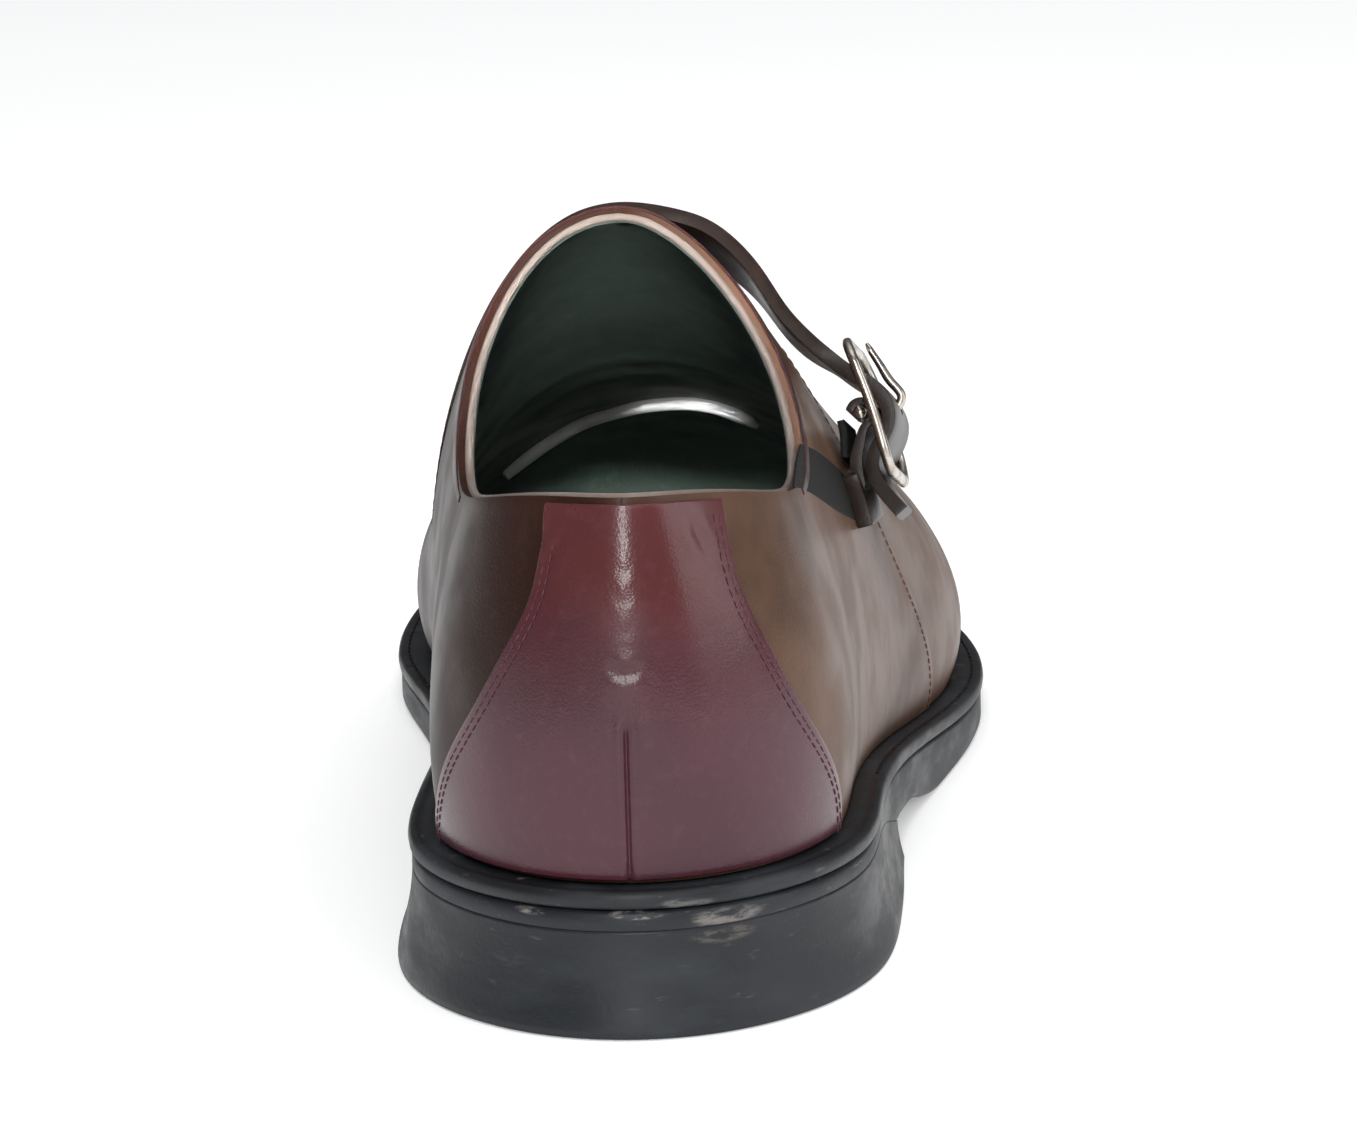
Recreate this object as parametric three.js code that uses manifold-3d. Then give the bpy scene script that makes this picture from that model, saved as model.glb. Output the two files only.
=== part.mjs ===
// A monk strap shoe for a right foot, with one strap and buckle on the outer side.
//
// Millimetres. +Y points to the toe, +X to the outer side of the foot and +Z up. The origin is on
// the floor, under the middle of the heel seat.
//
// The shoe is drawn on its last. The feather line, where upper and sole meet, is a closed outline
// followed by a turn: 0 at the back of the heel, a quarter turn on the outer side, half a turn at
// the toe. From each turn a rib rises over the last to the ridge along its top. The upper, its heel
// counter and the strap are all cut from that one surface, and the sole follows the same outline.

import * as THREE from 'three'
import { mergeVertices } from 'three/addons/utils/BufferGeometryUtils.js'
import Module from 'manifold-3d'

// ---- driving dimensions -------------------------------------------------------------------------

const HEEL_BACK = -32 // y of the feather line at the heel
const TOE_TIP = 254 // y of the feather line at the toe
const TOE_X = -7 // the toe's point lies towards the inner side
const GAP = 0.3 // between pieces that touch on the real shoe
const FACET_SAG = 0.2 // more, where a facet of the upper may stand out under a curved band

const UPPER_WALL = 2.2 // leather and lining together
const COUNTER_THICK = 1.1
const WELT_THICK = 2.7
const HEEL_BREAST = 61 // y of the heel's front face
const HEEL_BOW = 3 // the breast is hollowed by this much
const TREAD_ROUND = 1 // rounded edge where sole and heel meet the floor

const STRAP_THICK = 2.6
const TAB_THICK = 2.4 // two layers of leather, folded round the buckle's bar
const TAB_LAYER = 1.2
const ELASTIC_THICK = 1.2
const WIRE = 2.6 // width and depth of the buckle frame's sides
const BAR_RADIUS = 1.1
const PRONG_RADIUS = 0.9

// Plan of the feather line: y, x on the outer side, x on the inner side.
const PLAN = [
  [-23, 18.5, -18.5],
  [-2, 29.0, -29.0],
  [28, 31.5, -31.0],
  [65, 34.5, -31.5],
  [100, 40.0, -33.0],
  [130, 46.0, -36.5],
  [152, 48.5, -40.5],
  [175, 47.5, -45.0],
  [195, 43.5, -46.0],
  [215, 36.0, -43.5],
  [235, 24.5, -36.0],
  [248, 11.0, -25.5],
]

// Height of the feather line: y, z. It falls from the heel seat to the ball and springs at the toe.
const FEATHER = [
  [-36, 22.0],
  [0, 21.4],
  [35, 20.0],
  [70, 16.6],
  [105, 12.6],
  [140, 10.0],
  [170, 9.3],
  [200, 9.8],
  [228, 12.8],
  [262, 21.0],
]

// Thickness of the outsole: y, thickness. It grows under the waist, so the arch stays low.
const OUTSOLE = [
  [-40, 3.0],
  [15, 3.0],
  [45, 5.4],
  [62, 7.8],
  [74, 7.7],
  [84, 7.5],
  [96, 8.8],
  [108, 9.0],
  [125, 7.9],
  [145, 6.9],
  [170, 6.6],
  [200, 6.7],
  [228, 6.3],
  [262, 5.6],
]

// How much wider the heel is at the floor than at its top: y, flare.
const HEEL_FLARE = [
  [-40, 2.2],
  [0, 2.3],
  [27, 2.7],
  [45, 2.1],
  [62, 0.6],
]

// How far the sole stands out from the feather line: y, margin.
const MARGIN = [
  [-40, 5.2],
  [60, 5.2],
  [120, 5.0],
  [170, 6.0],
  [262, 7.5],
]

// Top of the last: y, x, z of the ridge. Behind the throat it is the ankle, which is left open.
const RIDGE_BACK = -20
const RIDGE_FRONT = 228
const RIDGE_SIDE = [
  [-20, 0.0],
  [30, -1.5],
  [75, -4.0],
  [120, -4.0],
  [170, -3.5],
  [228, -7.0],
]
const RIDGE_TOP = [
  [-20, 100.0],
  [0, 108.0],
  [25, 113.5],
  [50, 112.0],
  [72, 105.0],
  [95, 92.5],
  [120, 78.5],
  [145, 67.5],
  [170, 59.5],
  [195, 53.5],
  [212, 50.0],
  [228, 45.0],
]

// Shape of the ribs: y of the rib's foot, how far it rises before it turns in, how far it flares
// out on the outer and inner side, and how far its crown reaches over from the ridge on each side.
const RIBS = [
  [-32, 34, 5.5, 5.5, 2.0, 2.0],
  [-10, 34, 6.5, 6.5, 6.5, 7.0],
  [20, 34, 7.0, 7.5, 9.0, 12.0],
  [60, 33, 8.5, 11.5, 15.5, 22.0],
  [100, 30, 10.5, 13.5, 21.0, 27.0],
  [140, 25, 11.0, 12.0, 25.0, 28.0],
  [180, 21, 9.5, 9.5, 28.0, 30.0],
  [215, 18, 7.5, 8.0, 26.0, 27.0],
  [240, 17, 6.0, 6.5, 23.0, 23.0],
  [254, 16, 5.0, 5.0, 20.0, 20.0],
]

// Side view of the topline: y, z. In front of its last row the throat rises at a steady slope.
const TOPLINE = [
  [-40, 78.8],
  [-25, 77.6],
  [-5, 73.8],
  [15, 70.5],
  [35, 72.0],
  [52, 79.5],
  [64, 91.5],
  [71, 105.2],
]
const THROAT_SLOPE = 2.2

// The heel counter: share of the rib's height, turn of its outer edge and of its inner edge.
const COUNTER = [
  [0.0, 37.5, 38.0],
  [0.06, 36.0, 35.0],
  [0.13, 32.5, 31.0],
  [0.21, 27.5, 25.5],
  [0.3, 23.5, 20.5],
  [0.39, 21.0, 16.8],
  [0.5, 22.3, 17.5],
]

// The buckle: the upper end of its rear side, its direction down along the strap and forward
// across it. Everything on the buckle is placed by how far down, across and out it lies.
const BUCKLE = new THREE.Vector3(31.9, 73, 83)
const BUCKLE_DOWN = [0.306, -0.316, -0.898]
const BUCKLE_ACROSS = [0.12, 0.945, -0.3]
const FRAME_LENGTH = 24.4
const FRAME_WIDTH = 25
const BAR_DOWN = 11.4
const BAR_OUT = -1.8
const STRAP_SIDES = [1.9, 20.5] // across the buckle
const TAB_SIDES = [3, 19]
const ELASTIC_SIDES = [4, 18]
const HOLE_RADIUS = 1.5

// The strap lies on the foot between two ribs, from the inner side up to the ridge, and grows
// thicker on the way: share of the ribs' height, thickness.
const STRAP_REAR = 77
const STRAP_FRONT = 84.8
const STRAP_ON_FOOT = [
  [0.45, 0.8],
  [0.55, 0.8],
  [0.65, 0.9],
  [0.74, 1.2],
  [0.83, 1.8],
  [0.92, 2.4],
  [0.99, 2.6],
]
// Past the ridge it hangs free: x, y, z of the rear edge and x, y, z of the front edge.
const STRAP_FREE = [
  [4.4, 75.6, 103.7, 4.9, 92.2, 94.8],
  [9.2, 75.3, 102.1, 10.1, 92.0, 93.4],
  [14.1, 75.2, 98.4, 15.2, 91.9, 90.2],
  [17.7, 75.1, 94.0, 19.0, 92.1, 86.2],
  [21.4, 75.0, 88.1, 22.9, 92.3, 80.8],
  [25.3, 74.8, 83.6, 27.0, 92.3, 77.0],
]
// Through the buckle: down, out.
const STRAP_IN_BUCKLE = [
  [1.5, -3.5],
  [4.4, -1.5],
  [7.2, 0.9],
  [10.4, 2.4],
  [13.0, 2.5],
  [15.4, 1.2],
  [17.5, -0.9],
  [19.6, -2.6],
  [21.8, -3.0],
  [24.6, -2.4],
  [28.0, -1.1],
]

// The tab that holds the buckle. On the foot: turn and height share of its rear and front edge.
const TAB_ON_FOOT = [
  [72.0, 0.32, 78.5, 0.335],
  [72.4, 0.355, 79.0, 0.36],
  [72.8, 0.39, 79.4, 0.385],
]
// Up to the buckle's bar: down, out, thickness.
const TAB_FREE = [
  [22.8, -6.25, 2.3],
  [18.9, -5.25, 2.0],
  [15.7, -3.5, 1.6],
]
const TAB_FOLD = [5, 45, 85, 125, 165, 205, 240] // degrees round the bar
// The elastic under the tab: down, out.
const ELASTIC = [
  [11.2, -5.4],
  [13.6, -5.7],
  [15.7, -6.3],
  [17.2, -6.7],
]
// The prong: down, out.
const PRONG = [
  [11.2, 1.3],
  [11.1, 3.5],
  [10.0, 4.6],
  [7.2, 3.9],
  [3.6, 3.0],
  [0.5, 2.5],
  [-1.2, 2.4],
]

// ---- curves -------------------------------------------------------------------------------------

// A natural cubic curve through rows of [x, y]. With a period, the rows repeat.
function curve(rows, period = 0) {
  const overlap = 4
  const wrapped = period
    ? [
        ...rows.slice(-1 - overlap, -1).map(([x, y]) => [x - period, y]),
        ...rows,
        ...rows.slice(1, 1 + overlap).map(([x, y]) => [x + period, y]),
      ]
    : rows
  const x = wrapped.map((row) => row[0])
  const y = wrapped.map((row) => row[1])
  const last = x.length - 1
  const bend = new Array(last + 1).fill(0)
  const carry = new Array(last + 1).fill(0)
  for (let i = 1; i < last; i++) {
    const before = x[i] - x[i - 1]
    const after = x[i + 1] - x[i]
    const pivot = 2 * (before + after) - before * carry[i - 1]
    const rise = (y[i + 1] - y[i]) / after - (y[i] - y[i - 1]) / before
    carry[i] = after / pivot
    bend[i] = (6 * rise - before * bend[i - 1]) / pivot
  }
  for (let i = last - 1; i > 0; i--) bend[i] -= carry[i] * bend[i + 1]
  return (at) => {
    const q = period ? ((at % period) + period) % period : at
    let i = 0
    while (i < last - 1 && x[i + 1] <= q) i++
    const h = x[i + 1] - x[i]
    const a = (x[i + 1] - q) / h
    const b = (q - x[i]) / h
    return a * y[i] + b * y[i + 1] + (((a ** 3 - a) * bend[i] + (b ** 3 - b) * bend[i + 1]) * h * h) / 6
  }
}

// For each of some points in space, its share of the way along them.
function sharesAlong(points) {
  const along = [0]
  for (let i = 1; i < points.length; i++) along.push(along[i - 1] + points[i].distanceTo(points[i - 1]))
  return along.map((distance) => distance / along.at(-1))
}

// A smooth curve through points in space, as a function of the share of its length.
function spaceCurve(points) {
  const shares = sharesAlong(points)
  const [x, y, z] = ['x', 'y', 'z'].map((key) => curve(points.map((point, i) => [shares[i], point[key]])))
  return (share) => new THREE.Vector3(x(share), y(share), z(share))
}

const FULL = 2 * Math.PI
const radians = THREE.MathUtils.degToRad
const length = TOE_TIP - HEEL_BACK
const turnOf = (y) => Math.acos(1 - (2 * (y - HEEL_BACK)) / length)

// A value given on both sides of the foot becomes one function of the turn.
function aroundFoot(rows, outer, inner, heel, toe) {
  const outerRows = rows.map((row) => [turnOf(row[0]), row[outer]])
  const innerRows = rows.map((row) => [FULL - turnOf(row[0]), row[inner]]).reverse()
  const toeRow = toe === undefined ? [] : [[Math.PI, toe]]
  const start = heel === undefined ? [] : [[0, heel]]
  const end = heel === undefined ? [] : [[FULL, heel]]
  const middle = toe === undefined ? innerRows.slice(1) : innerRows
  return curve([...start, ...outerRows, ...toeRow, ...middle, ...end], FULL)
}

const planX = aroundFoot(PLAN, 1, 2, 0, TOE_X)
const rise = aroundFoot(RIBS, 1, 1)
const flare = aroundFoot(RIBS, 2, 3)
const crown = aroundFoot(RIBS, 4, 5)
const featherZ = curve(FEATHER)
const outsoleThick = curve(OUTSOLE)
const margin = curve(MARGIN)
const heelFlare = curve(HEEL_FLARE)
const ridgeX = curve(RIDGE_SIDE)
const ridgeZ = curve(RIDGE_TOP)
const toplineCurve = curve(TOPLINE)
const counterOuter = curve(COUNTER.map((row) => [row[0], row[1]]))
const counterInner = curve(COUNTER.map((row) => [row[0], row[2]]))

// ---- the last -----------------------------------------------------------------------------------

// The feather line at a turn, moved outwards by an amount.
function outline(turn, out = 0) {
  const step = 1e-4
  const y = (t) => HEEL_BACK + (length * (1 - Math.cos(t))) / 2
  const dx = planX(turn + step) - planX(turn - step)
  const dy = y(turn + step) - y(turn - step)
  const size = Math.hypot(dx, dy)
  return new THREE.Vector2(planX(turn) + (dy / size) * out, y(turn) - (dx / size) * out)
}

// A point on the last, at a turn and a share of the rib from the feather line to the ridge.
function last(turn, share) {
  const step = 1e-3
  const foot = outline(turn)
  const out = outline(turn, 1).sub(foot)
  const ridgeY = RIDGE_BACK + ((RIDGE_FRONT - RIDGE_BACK) * (1 - Math.cos(turn))) / 2
  const slope = (ridgeZ(ridgeY + step) - ridgeZ(ridgeY - step)) / (2 * step)
  const start = new THREE.Vector3(foot.x, foot.y, featherZ(foot.y))
  const low = start.clone().add(new THREE.Vector3(out.x * flare(turn), out.y * flare(turn), rise(turn)))
  const end = new THREE.Vector3(ridgeX(ridgeY), ridgeY, ridgeZ(ridgeY))
  const high = new THREE.Vector3(out.x, out.y, out.y * slope).multiplyScalar(crown(turn)).add(end)
  return new THREE.CubicBezierCurve3(start, low, high, end).getPoint(share)
}

function outward(turn, share) {
  const step = 1e-3
  const across = last(turn + step, share).sub(last(turn - step, share))
  const up = last(turn, Math.min(share + step, 0.9999)).sub(last(turn, share - step))
  return across.cross(up).normalize()
}

function offLast(turn, share, distance) {
  return last(turn, share).addScaledVector(outward(turn, share), distance)
}

function toplineZ(y) {
  const [lastY, lastZ] = TOPLINE[TOPLINE.length - 1]
  return y > lastY ? lastZ + (y - lastY) * THROAT_SLOPE : toplineCurve(y)
}

// How far up its rib the upper reaches: to the topline, or to the ridge in front of the throat.
function toplineShare(turn) {
  const above = (share) => {
    const point = last(turn, share)
    return point.z > toplineZ(point.y)
  }
  const firstTry = 0.3
  const steps = 70
  for (let i = 1; i <= steps; i++) {
    let high = firstTry + ((1 - firstTry) * i) / steps
    if (!above(high)) continue
    let low = high - (1 - firstTry) / steps
    for (let halving = 0; halving < 20; halving++) {
      const middle = (low + high) / 2
      if (above(middle)) high = middle
      else low = middle
    }
    return high
  }
  return 1
}

// ---- meshes -------------------------------------------------------------------------------------

const group = new THREE.Group()

function add(name, geometry, color, roughness, metalness = 0) {
  const material = new THREE.MeshStandardMaterial({ color, roughness, metalness })
  const mesh = new THREE.Mesh(geometry, material)
  mesh.name = name
  group.add(mesh)
  return mesh
}

// One geometry with shared corners from a list of triangles, leaving out any that have no area.
function fromTriangles(triangles) {
  const loose = new THREE.BufferGeometry().setFromPoints(triangles.flat())
  const geometry = mergeVertices(loose, 1e-4)
  const old = geometry.index.array
  const index = []
  for (let i = 0; i < old.length; i += 3) {
    const [a, b, c] = [old[i], old[i + 1], old[i + 2]]
    if (a !== b && b !== c && c !== a) index.push(a, b, c)
  }
  geometry.setIndex(index)
  return geometry
}

// Triangles between neighbouring rows of points. They face the side from which the rows run
// anticlockwise to the points' own direction.
function skin(rows, flipped = false) {
  const triangles = []
  for (let i = 0; i + 1 < rows.length; i++) {
    for (let j = 0; j + 1 < rows[i].length; j++) {
      const [a, b, c, d] = [rows[i][j], rows[i + 1][j], rows[i + 1][j + 1], rows[i][j + 1]]
      if (flipped) triangles.push([a, c, b], [a, d, c])
      else triangles.push([a, b, c], [a, c, d])
    }
  }
  return triangles
}

// A wall made from a sheet: its faces lie at two distances from the sheet, along its normals.
// The distances may differ from corner to corner.
function wall(sheet, innerDistance, outerDistance) {
  sheet.computeVertexNormals()
  const at = sheet.attributes.position
  const normal = sheet.attributes.normal
  const index = sheet.index.array
  const lift = (distance) => {
    const points = []
    for (let i = 0; i < at.count; i++) {
      const point = new THREE.Vector3().fromBufferAttribute(at, i)
      const amount = typeof distance === 'function' ? distance(i) : distance
      points.push(point.addScaledVector(new THREE.Vector3().fromBufferAttribute(normal, i), amount))
    }
    return points
  }
  const inner = lift(innerDistance)
  const outer = lift(outerDistance)
  const triangles = []
  const edges = new Set()
  for (let i = 0; i < index.length; i += 3) {
    const corners = [index[i], index[i + 1], index[i + 2]]
    triangles.push(corners.map((c) => outer[c]))
    triangles.push(corners.map((c) => inner[c]).reverse())
    corners.forEach((c, k) => edges.add(`${c},${corners[(k + 1) % 3]}`))
  }
  for (const edge of edges) {
    const [a, b] = edge.split(',').map(Number)
    if (edges.has(`${b},${a}`)) continue
    triangles.push([outer[b], outer[a], inner[a]], [outer[b], inner[a], inner[b]])
  }
  return fromTriangles(triangles)
}

// The halves of the outline as matching turns, from the heel to the turn given.
function halfTurns(end, count) {
  return Array.from({ length: count + 1 }, (_, i) => (end * i) / count)
}

// A plate that follows the feather line. Each level is an edge all round, from the lowest to the
// highest, given as a function of the turn. The faces between the edges follow a height by y.
function plate(levels, bottomZ, topZ, end = Math.PI, count = 40, across = 4, bow = 0) {
  const turns = halfTurns(end, count)
  const rowAcross = (edge, turn, z) => {
    const inner = edge(-turn)
    const outer = edge(turn)
    const hollow = bow * (turn / end) ** 4
    return Array.from({ length: across + 1 }, (_, i) => {
      const share = i / across
      const point = inner.clone().lerp(outer, share)
      point.y -= 4 * hollow * share * (1 - share)
      if (z && i > 0 && i < across) point.z = z(point.y)
      return point
    })
  }
  const face = (edge, z) => turns.map((turn) => rowAcross(edge, turn, z))
  const triangles = [...skin(face(levels[0], bottomZ)), ...skin(face(levels.at(-1), topZ), true)]
  const around = [...turns.toReversed().map((turn) => -turn), ...turns.slice(1)]
  triangles.push(...skin(around.map((turn) => levels.map((edge) => edge(turn)))))
  if (end < Math.PI) {
    const heights = levels.map(() => undefined)
    heights[0] = bottomZ
    heights[levels.length - 1] = topZ
    triangles.push(...skin(levels.map((edge, i) => rowAcross(edge, end, heights[i]))))
  }
  return fromTriangles(triangles)
}

// An edge of a plate, at a margin and a height which may both depend on y.
function edgeAt(out, height) {
  return (turn) => {
    const atFeather = outline(turn)
    const point = outline(turn, out(atFeather.y))
    return new THREE.Vector3(point.x, point.y, height(point.y))
  }
}

// ---- sole ---------------------------------------------------------------------------------------

const weltTop = (y) => featherZ(y) - GAP
const weltBottom = (y) => weltTop(y) - WELT_THICK
const outsoleTop = (y) => weltBottom(y) - GAP
const outsoleBottom = (y) => Math.max(0, outsoleTop(y) - outsoleThick(y))
const heelTop = (y) => outsoleTop(y) - outsoleThick(y) - GAP

function makeOutsole() {
  const side = (y) => margin(y) - 0.5
  const levels = [
    edgeAt((y) => side(y) - TREAD_ROUND, outsoleBottom),
    edgeAt(side, (y) => outsoleBottom(y) + TREAD_ROUND),
    edgeAt(side, outsoleTop),
  ]
  return plate(levels, outsoleBottom, outsoleTop)
}

function makeHeel() {
  const flat = () => 0
  const levels = [
    edgeAt((y) => margin(y) + heelFlare(y) - TREAD_ROUND, flat),
    edgeAt((y) => margin(y) + heelFlare(y), () => TREAD_ROUND),
    edgeAt((y) => margin(y) - 0.5, heelTop),
  ]
  return plate(levels, flat, heelTop, turnOf(HEEL_BREAST), 16, 6, HEEL_BOW)
}

// The welt is a ring round the whole shoe, under the edge of the upper.
function makeWelt() {
  const bulge = 0.5
  const under = UPPER_WALL
  const section = [
    edgeAt(() => -under, weltBottom),
    edgeAt((y) => margin(y) - bulge, weltBottom),
    edgeAt(margin, (y) => (weltBottom(y) + weltTop(y)) / 2),
    edgeAt((y) => margin(y) - bulge, weltTop),
    edgeAt(() => -under, weltTop),
    edgeAt(() => -under, weltBottom),
  ]
  const steps = 72
  const turns = Array.from({ length: steps + 1 }, (_, i) => (FULL * i) / steps)
  return fromTriangles(skin(turns.map((turn) => section.map((edge) => edge(turn)))))
}

function makeInsole() {
  const inset = () => -UPPER_WALL - 0.4
  const above = 1.8
  const bottom = (y) => weltBottom(y)
  const top = (y) => featherZ(y) + above
  return plate([edgeAt(inset, bottom), edgeAt(inset, top)], bottom, top, Math.PI, 36, 2)
}

// ---- upper --------------------------------------------------------------------------------------

// The turn whose rib ends where the topline crosses the ridge.
function findThroat() {
  let [low, high] = [radians(60), radians(90)]
  for (let halving = 0; halving < 30; halving++) {
    const middle = (low + high) / 2
    const ridge = last(middle, 1)
    if (ridge.z > toplineZ(ridge.y)) low = middle
    else high = middle
  }
  return high
}

function makeUpper() {
  const throat = findThroat()
  const collarSteps = 22
  const vampSteps = 21
  const half = []
  // The ribs crowd towards the throat, where the topline turns across the foot.
  for (let i = 0; i < collarSteps; i++) half.push(throat * Math.sin((Math.PI / 2) * (i / collarSteps)))
  for (let i = 0; i <= vampSteps; i++) half.push(throat + ((Math.PI - throat) * i) / vampSteps)
  const around = [...half, ...half.slice(0, -1).toReversed().map((turn) => FULL - turn)]
  const rising = 12
  const rows = around.map((turn) => {
    const top = toplineShare(turn)
    return Array.from({ length: rising + 1 }, (_, i) => last(turn, (top * i) / rising))
  })
  return wall(fromTriangles(skin(rows)), -UPPER_WALL, 0)
}

function makeCounter() {
  const across = 16
  const rising = 12
  const foot = 0.012 // clear of the welt
  const binding = 0.035 // the edge binding stays free above it
  const rows = Array.from({ length: across + 1 }, (_, i) => {
    return Array.from({ length: rising + 1 }, (_, j) => {
      const top = toplineShare(0) - binding
      const share = foot + ((top - foot) * j) / rising
      const degrees = THREE.MathUtils.lerp(-counterInner(share), counterOuter(share), i / across)
      return last(radians(degrees), share)
    })
  })
  return wall(fromTriangles(skin(rows)), GAP + FACET_SAG, GAP + FACET_SAG + COUNTER_THICK)
}

// ---- strap and buckle ---------------------------------------------------------------------------

const down = new THREE.Vector3(...BUCKLE_DOWN)
const across = new THREE.Vector3(...BUCKLE_ACROSS).normalize()
down.addScaledVector(across, -down.dot(across)).normalize()
const out = new THREE.Vector3().crossVectors(down, across)

function onBuckle(downBy, acrossBy, outBy) {
  return BUCKLE.clone()
    .addScaledVector(down, downBy)
    .addScaledVector(across, acrossBy)
    .addScaledVector(out, outBy)
}

// A band from rows of [rear edge, front edge, thickness], smoothed along its length.
function band(rows, stepsAlong, stepsAcross = 4) {
  const rear = spaceCurve(rows.map((row) => row[0]))
  const front = spaceCurve(rows.map((row) => row[1]))
  const shares = sharesAlong(rows.map((row) => row[0]))
  const thickness = curve(rows.map((row, i) => [shares[i], row[2]]))
  const points = []
  for (let i = 0; i <= stepsAlong; i++) {
    const [start, end] = [rear(i / stepsAlong), front(i / stepsAlong)]
    points.push(Array.from({ length: stepsAcross + 1 }, (_, j) => start.clone().lerp(end, j / stepsAcross)))
  }
  const sheet = fromTriangles(skin(points, true))
  const at = sheet.attributes.position
  const middle = points.map((row) => row[stepsAcross / 2])
  const half = (i) => {
    const point = new THREE.Vector3().fromBufferAttribute(at, i)
    const distances = middle.map((other) => other.distanceTo(point))
    return thickness(distances.indexOf(Math.min(...distances)) / stepsAlong) / 2
  }
  return wall(sheet, (i) => -half(i), half)
}

function strapRows() {
  return [
    ...STRAP_ON_FOOT.map(([share, thick]) => [
      offLast(-radians(STRAP_REAR), share, GAP + FACET_SAG + thick / 2),
      offLast(-radians(STRAP_FRONT), share, GAP + FACET_SAG + thick / 2),
      thick,
    ]),
    ...STRAP_FREE.map(([x, y, z, fx, fy, fz]) => [
      new THREE.Vector3(x, y, z),
      new THREE.Vector3(fx, fy, fz),
      STRAP_THICK,
    ]),
    ...STRAP_IN_BUCKLE.map(([d, o]) => [...STRAP_SIDES.map((side) => onBuckle(d, side, o)), STRAP_THICK]),
  ]
}

function tabRows() {
  const clear = GAP + FACET_SAG + TAB_THICK / 2
  const bend = BAR_RADIUS + GAP + TAB_LAYER / 2
  return [
    ...TAB_ON_FOOT.map(([rearTurn, rearShare, frontTurn, frontShare]) => [
      offLast(radians(rearTurn), rearShare, clear),
      offLast(radians(frontTurn), frontShare, clear),
      TAB_THICK,
    ]),
    ...TAB_FREE.map(([d, o, thick]) => [...TAB_SIDES.map((side) => onBuckle(d, side, o)), thick]),
    ...TAB_FOLD.map((degrees) => {
      const d = BAR_DOWN + bend * Math.cos(radians(degrees))
      const o = BAR_OUT + bend * Math.sin(radians(degrees))
      return [...TAB_SIDES.map((side) => onBuckle(d, side, o)), TAB_LAYER]
    }),
  ]
}

function makeElastic() {
  const rows = ELASTIC.map(([d, o]) => [...ELASTIC_SIDES.map((side) => onBuckle(d, side, o)), ELASTIC_THICK])
  return band(rows.toReversed(), 8)
}

const buckleMatrix = new THREE.Matrix4().makeBasis(down, across, out).setPosition(BUCKLE)

function roundedRectangle(shape, x, y, width, height, radius) {
  shape.moveTo(x + radius, y)
  shape.lineTo(x + width - radius, y)
  shape.absarc(x + width - radius, y + radius, radius, -Math.PI / 2, 0)
  shape.lineTo(x + width, y + height - radius)
  shape.absarc(x + width - radius, y + height - radius, radius, 0, Math.PI / 2)
  shape.lineTo(x + radius, y + height)
  shape.absarc(x + radius, y + height - radius, radius, Math.PI / 2, Math.PI)
  shape.lineTo(x, y + radius)
  shape.absarc(x + radius, y + radius, radius, Math.PI, 1.5 * Math.PI)
  return shape
}

function makeFrame() {
  const corner = 3.4
  const edge = 0.35
  const depth = WIRE - 0.2
  const outer = -WIRE / 2 + edge
  const inner = WIRE / 2 - edge
  const shape = new THREE.Shape()
  roundedRectangle(shape, outer, outer, FRAME_LENGTH - 2 * edge, FRAME_WIDTH - 2 * edge, corner)
  const opening = new THREE.Path()
  const [openLength, openWidth] = [FRAME_LENGTH, FRAME_WIDTH].map((size) => size - 2 * (WIRE - edge))
  roundedRectangle(opening, inner, inner, openLength, openWidth, 0.8)
  shape.holes.push(opening)
  const geometry = new THREE.ExtrudeGeometry(shape, {
    depth: depth - 2 * edge,
    bevelEnabled: true,
    bevelThickness: edge,
    bevelSize: edge,
    bevelSegments: 1,
    curveSegments: 5,
  })
  return geometry.translate(0, 0, edge - depth / 2).applyMatrix4(buckleMatrix)
}

function makeBar() {
  const free = FRAME_WIDTH - 2 * WIRE - 2 * GAP
  const middle = onBuckle(BAR_DOWN, FRAME_WIDTH / 2 - WIRE / 2, BAR_OUT)
  const turn = new THREE.Matrix4().makeBasis(down, across, out).setPosition(middle)
  return new THREE.CylinderGeometry(BAR_RADIUS, BAR_RADIUS, free, 14).applyMatrix4(turn)
}

function makeProng() {
  const middle = FRAME_WIDTH / 2 - WIRE / 2
  const path = new THREE.CatmullRomCurve3(PRONG.map(([d, o]) => onBuckle(d, middle, o)))
  const section = new THREE.Shape().absarc(0, 0, PRONG_RADIUS, 0, FULL)
  return new THREE.ExtrudeGeometry(section, { steps: 14, extrudePath: path, curveSegments: 8 })
}

const wasm = await Module()
wasm.setup()

function toSolid(geometry) {
  const bare = new THREE.BufferGeometry()
  bare.setAttribute('position', geometry.attributes.position)
  if (geometry.index) bare.setIndex(geometry.index)
  const merged = mergeVertices(bare, 1e-4)
  const vertProperties = Float32Array.from(merged.attributes.position.array)
  const triVerts = Uint32Array.from(merged.index.array)
  return new wasm.Manifold(new wasm.Mesh({ numProp: 3, vertProperties, triVerts }))
}

function fromSolid(solid) {
  const mesh = solid.getMesh()
  const geometry = new THREE.BufferGeometry()
  geometry.setAttribute('position', new THREE.BufferAttribute(Float32Array.from(mesh.vertProperties), 3))
  geometry.setIndex(new THREE.BufferAttribute(Uint32Array.from(mesh.triVerts), 1))
  return geometry
}

// The strap has one hole, for the prong.
function makeStrap() {
  const strap = toSolid(band(strapRows(), 56))
  const hole = new THREE.CylinderGeometry(HOLE_RADIUS, HOLE_RADIUS, 3 * STRAP_THICK, 14)
  const [holeDown, holeOut] = [PRONG[1][0], PRONG[0][1] + STRAP_THICK / 2]
  const middle = onBuckle(holeDown, FRAME_WIDTH / 2 - WIRE / 2, holeOut)
  hole.applyMatrix4(new THREE.Matrix4().makeBasis(across, out, down).setPosition(middle))
  return fromSolid(strap.subtract(toSolid(hole)))
}

// ---- the shoe -----------------------------------------------------------------------------------

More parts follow.
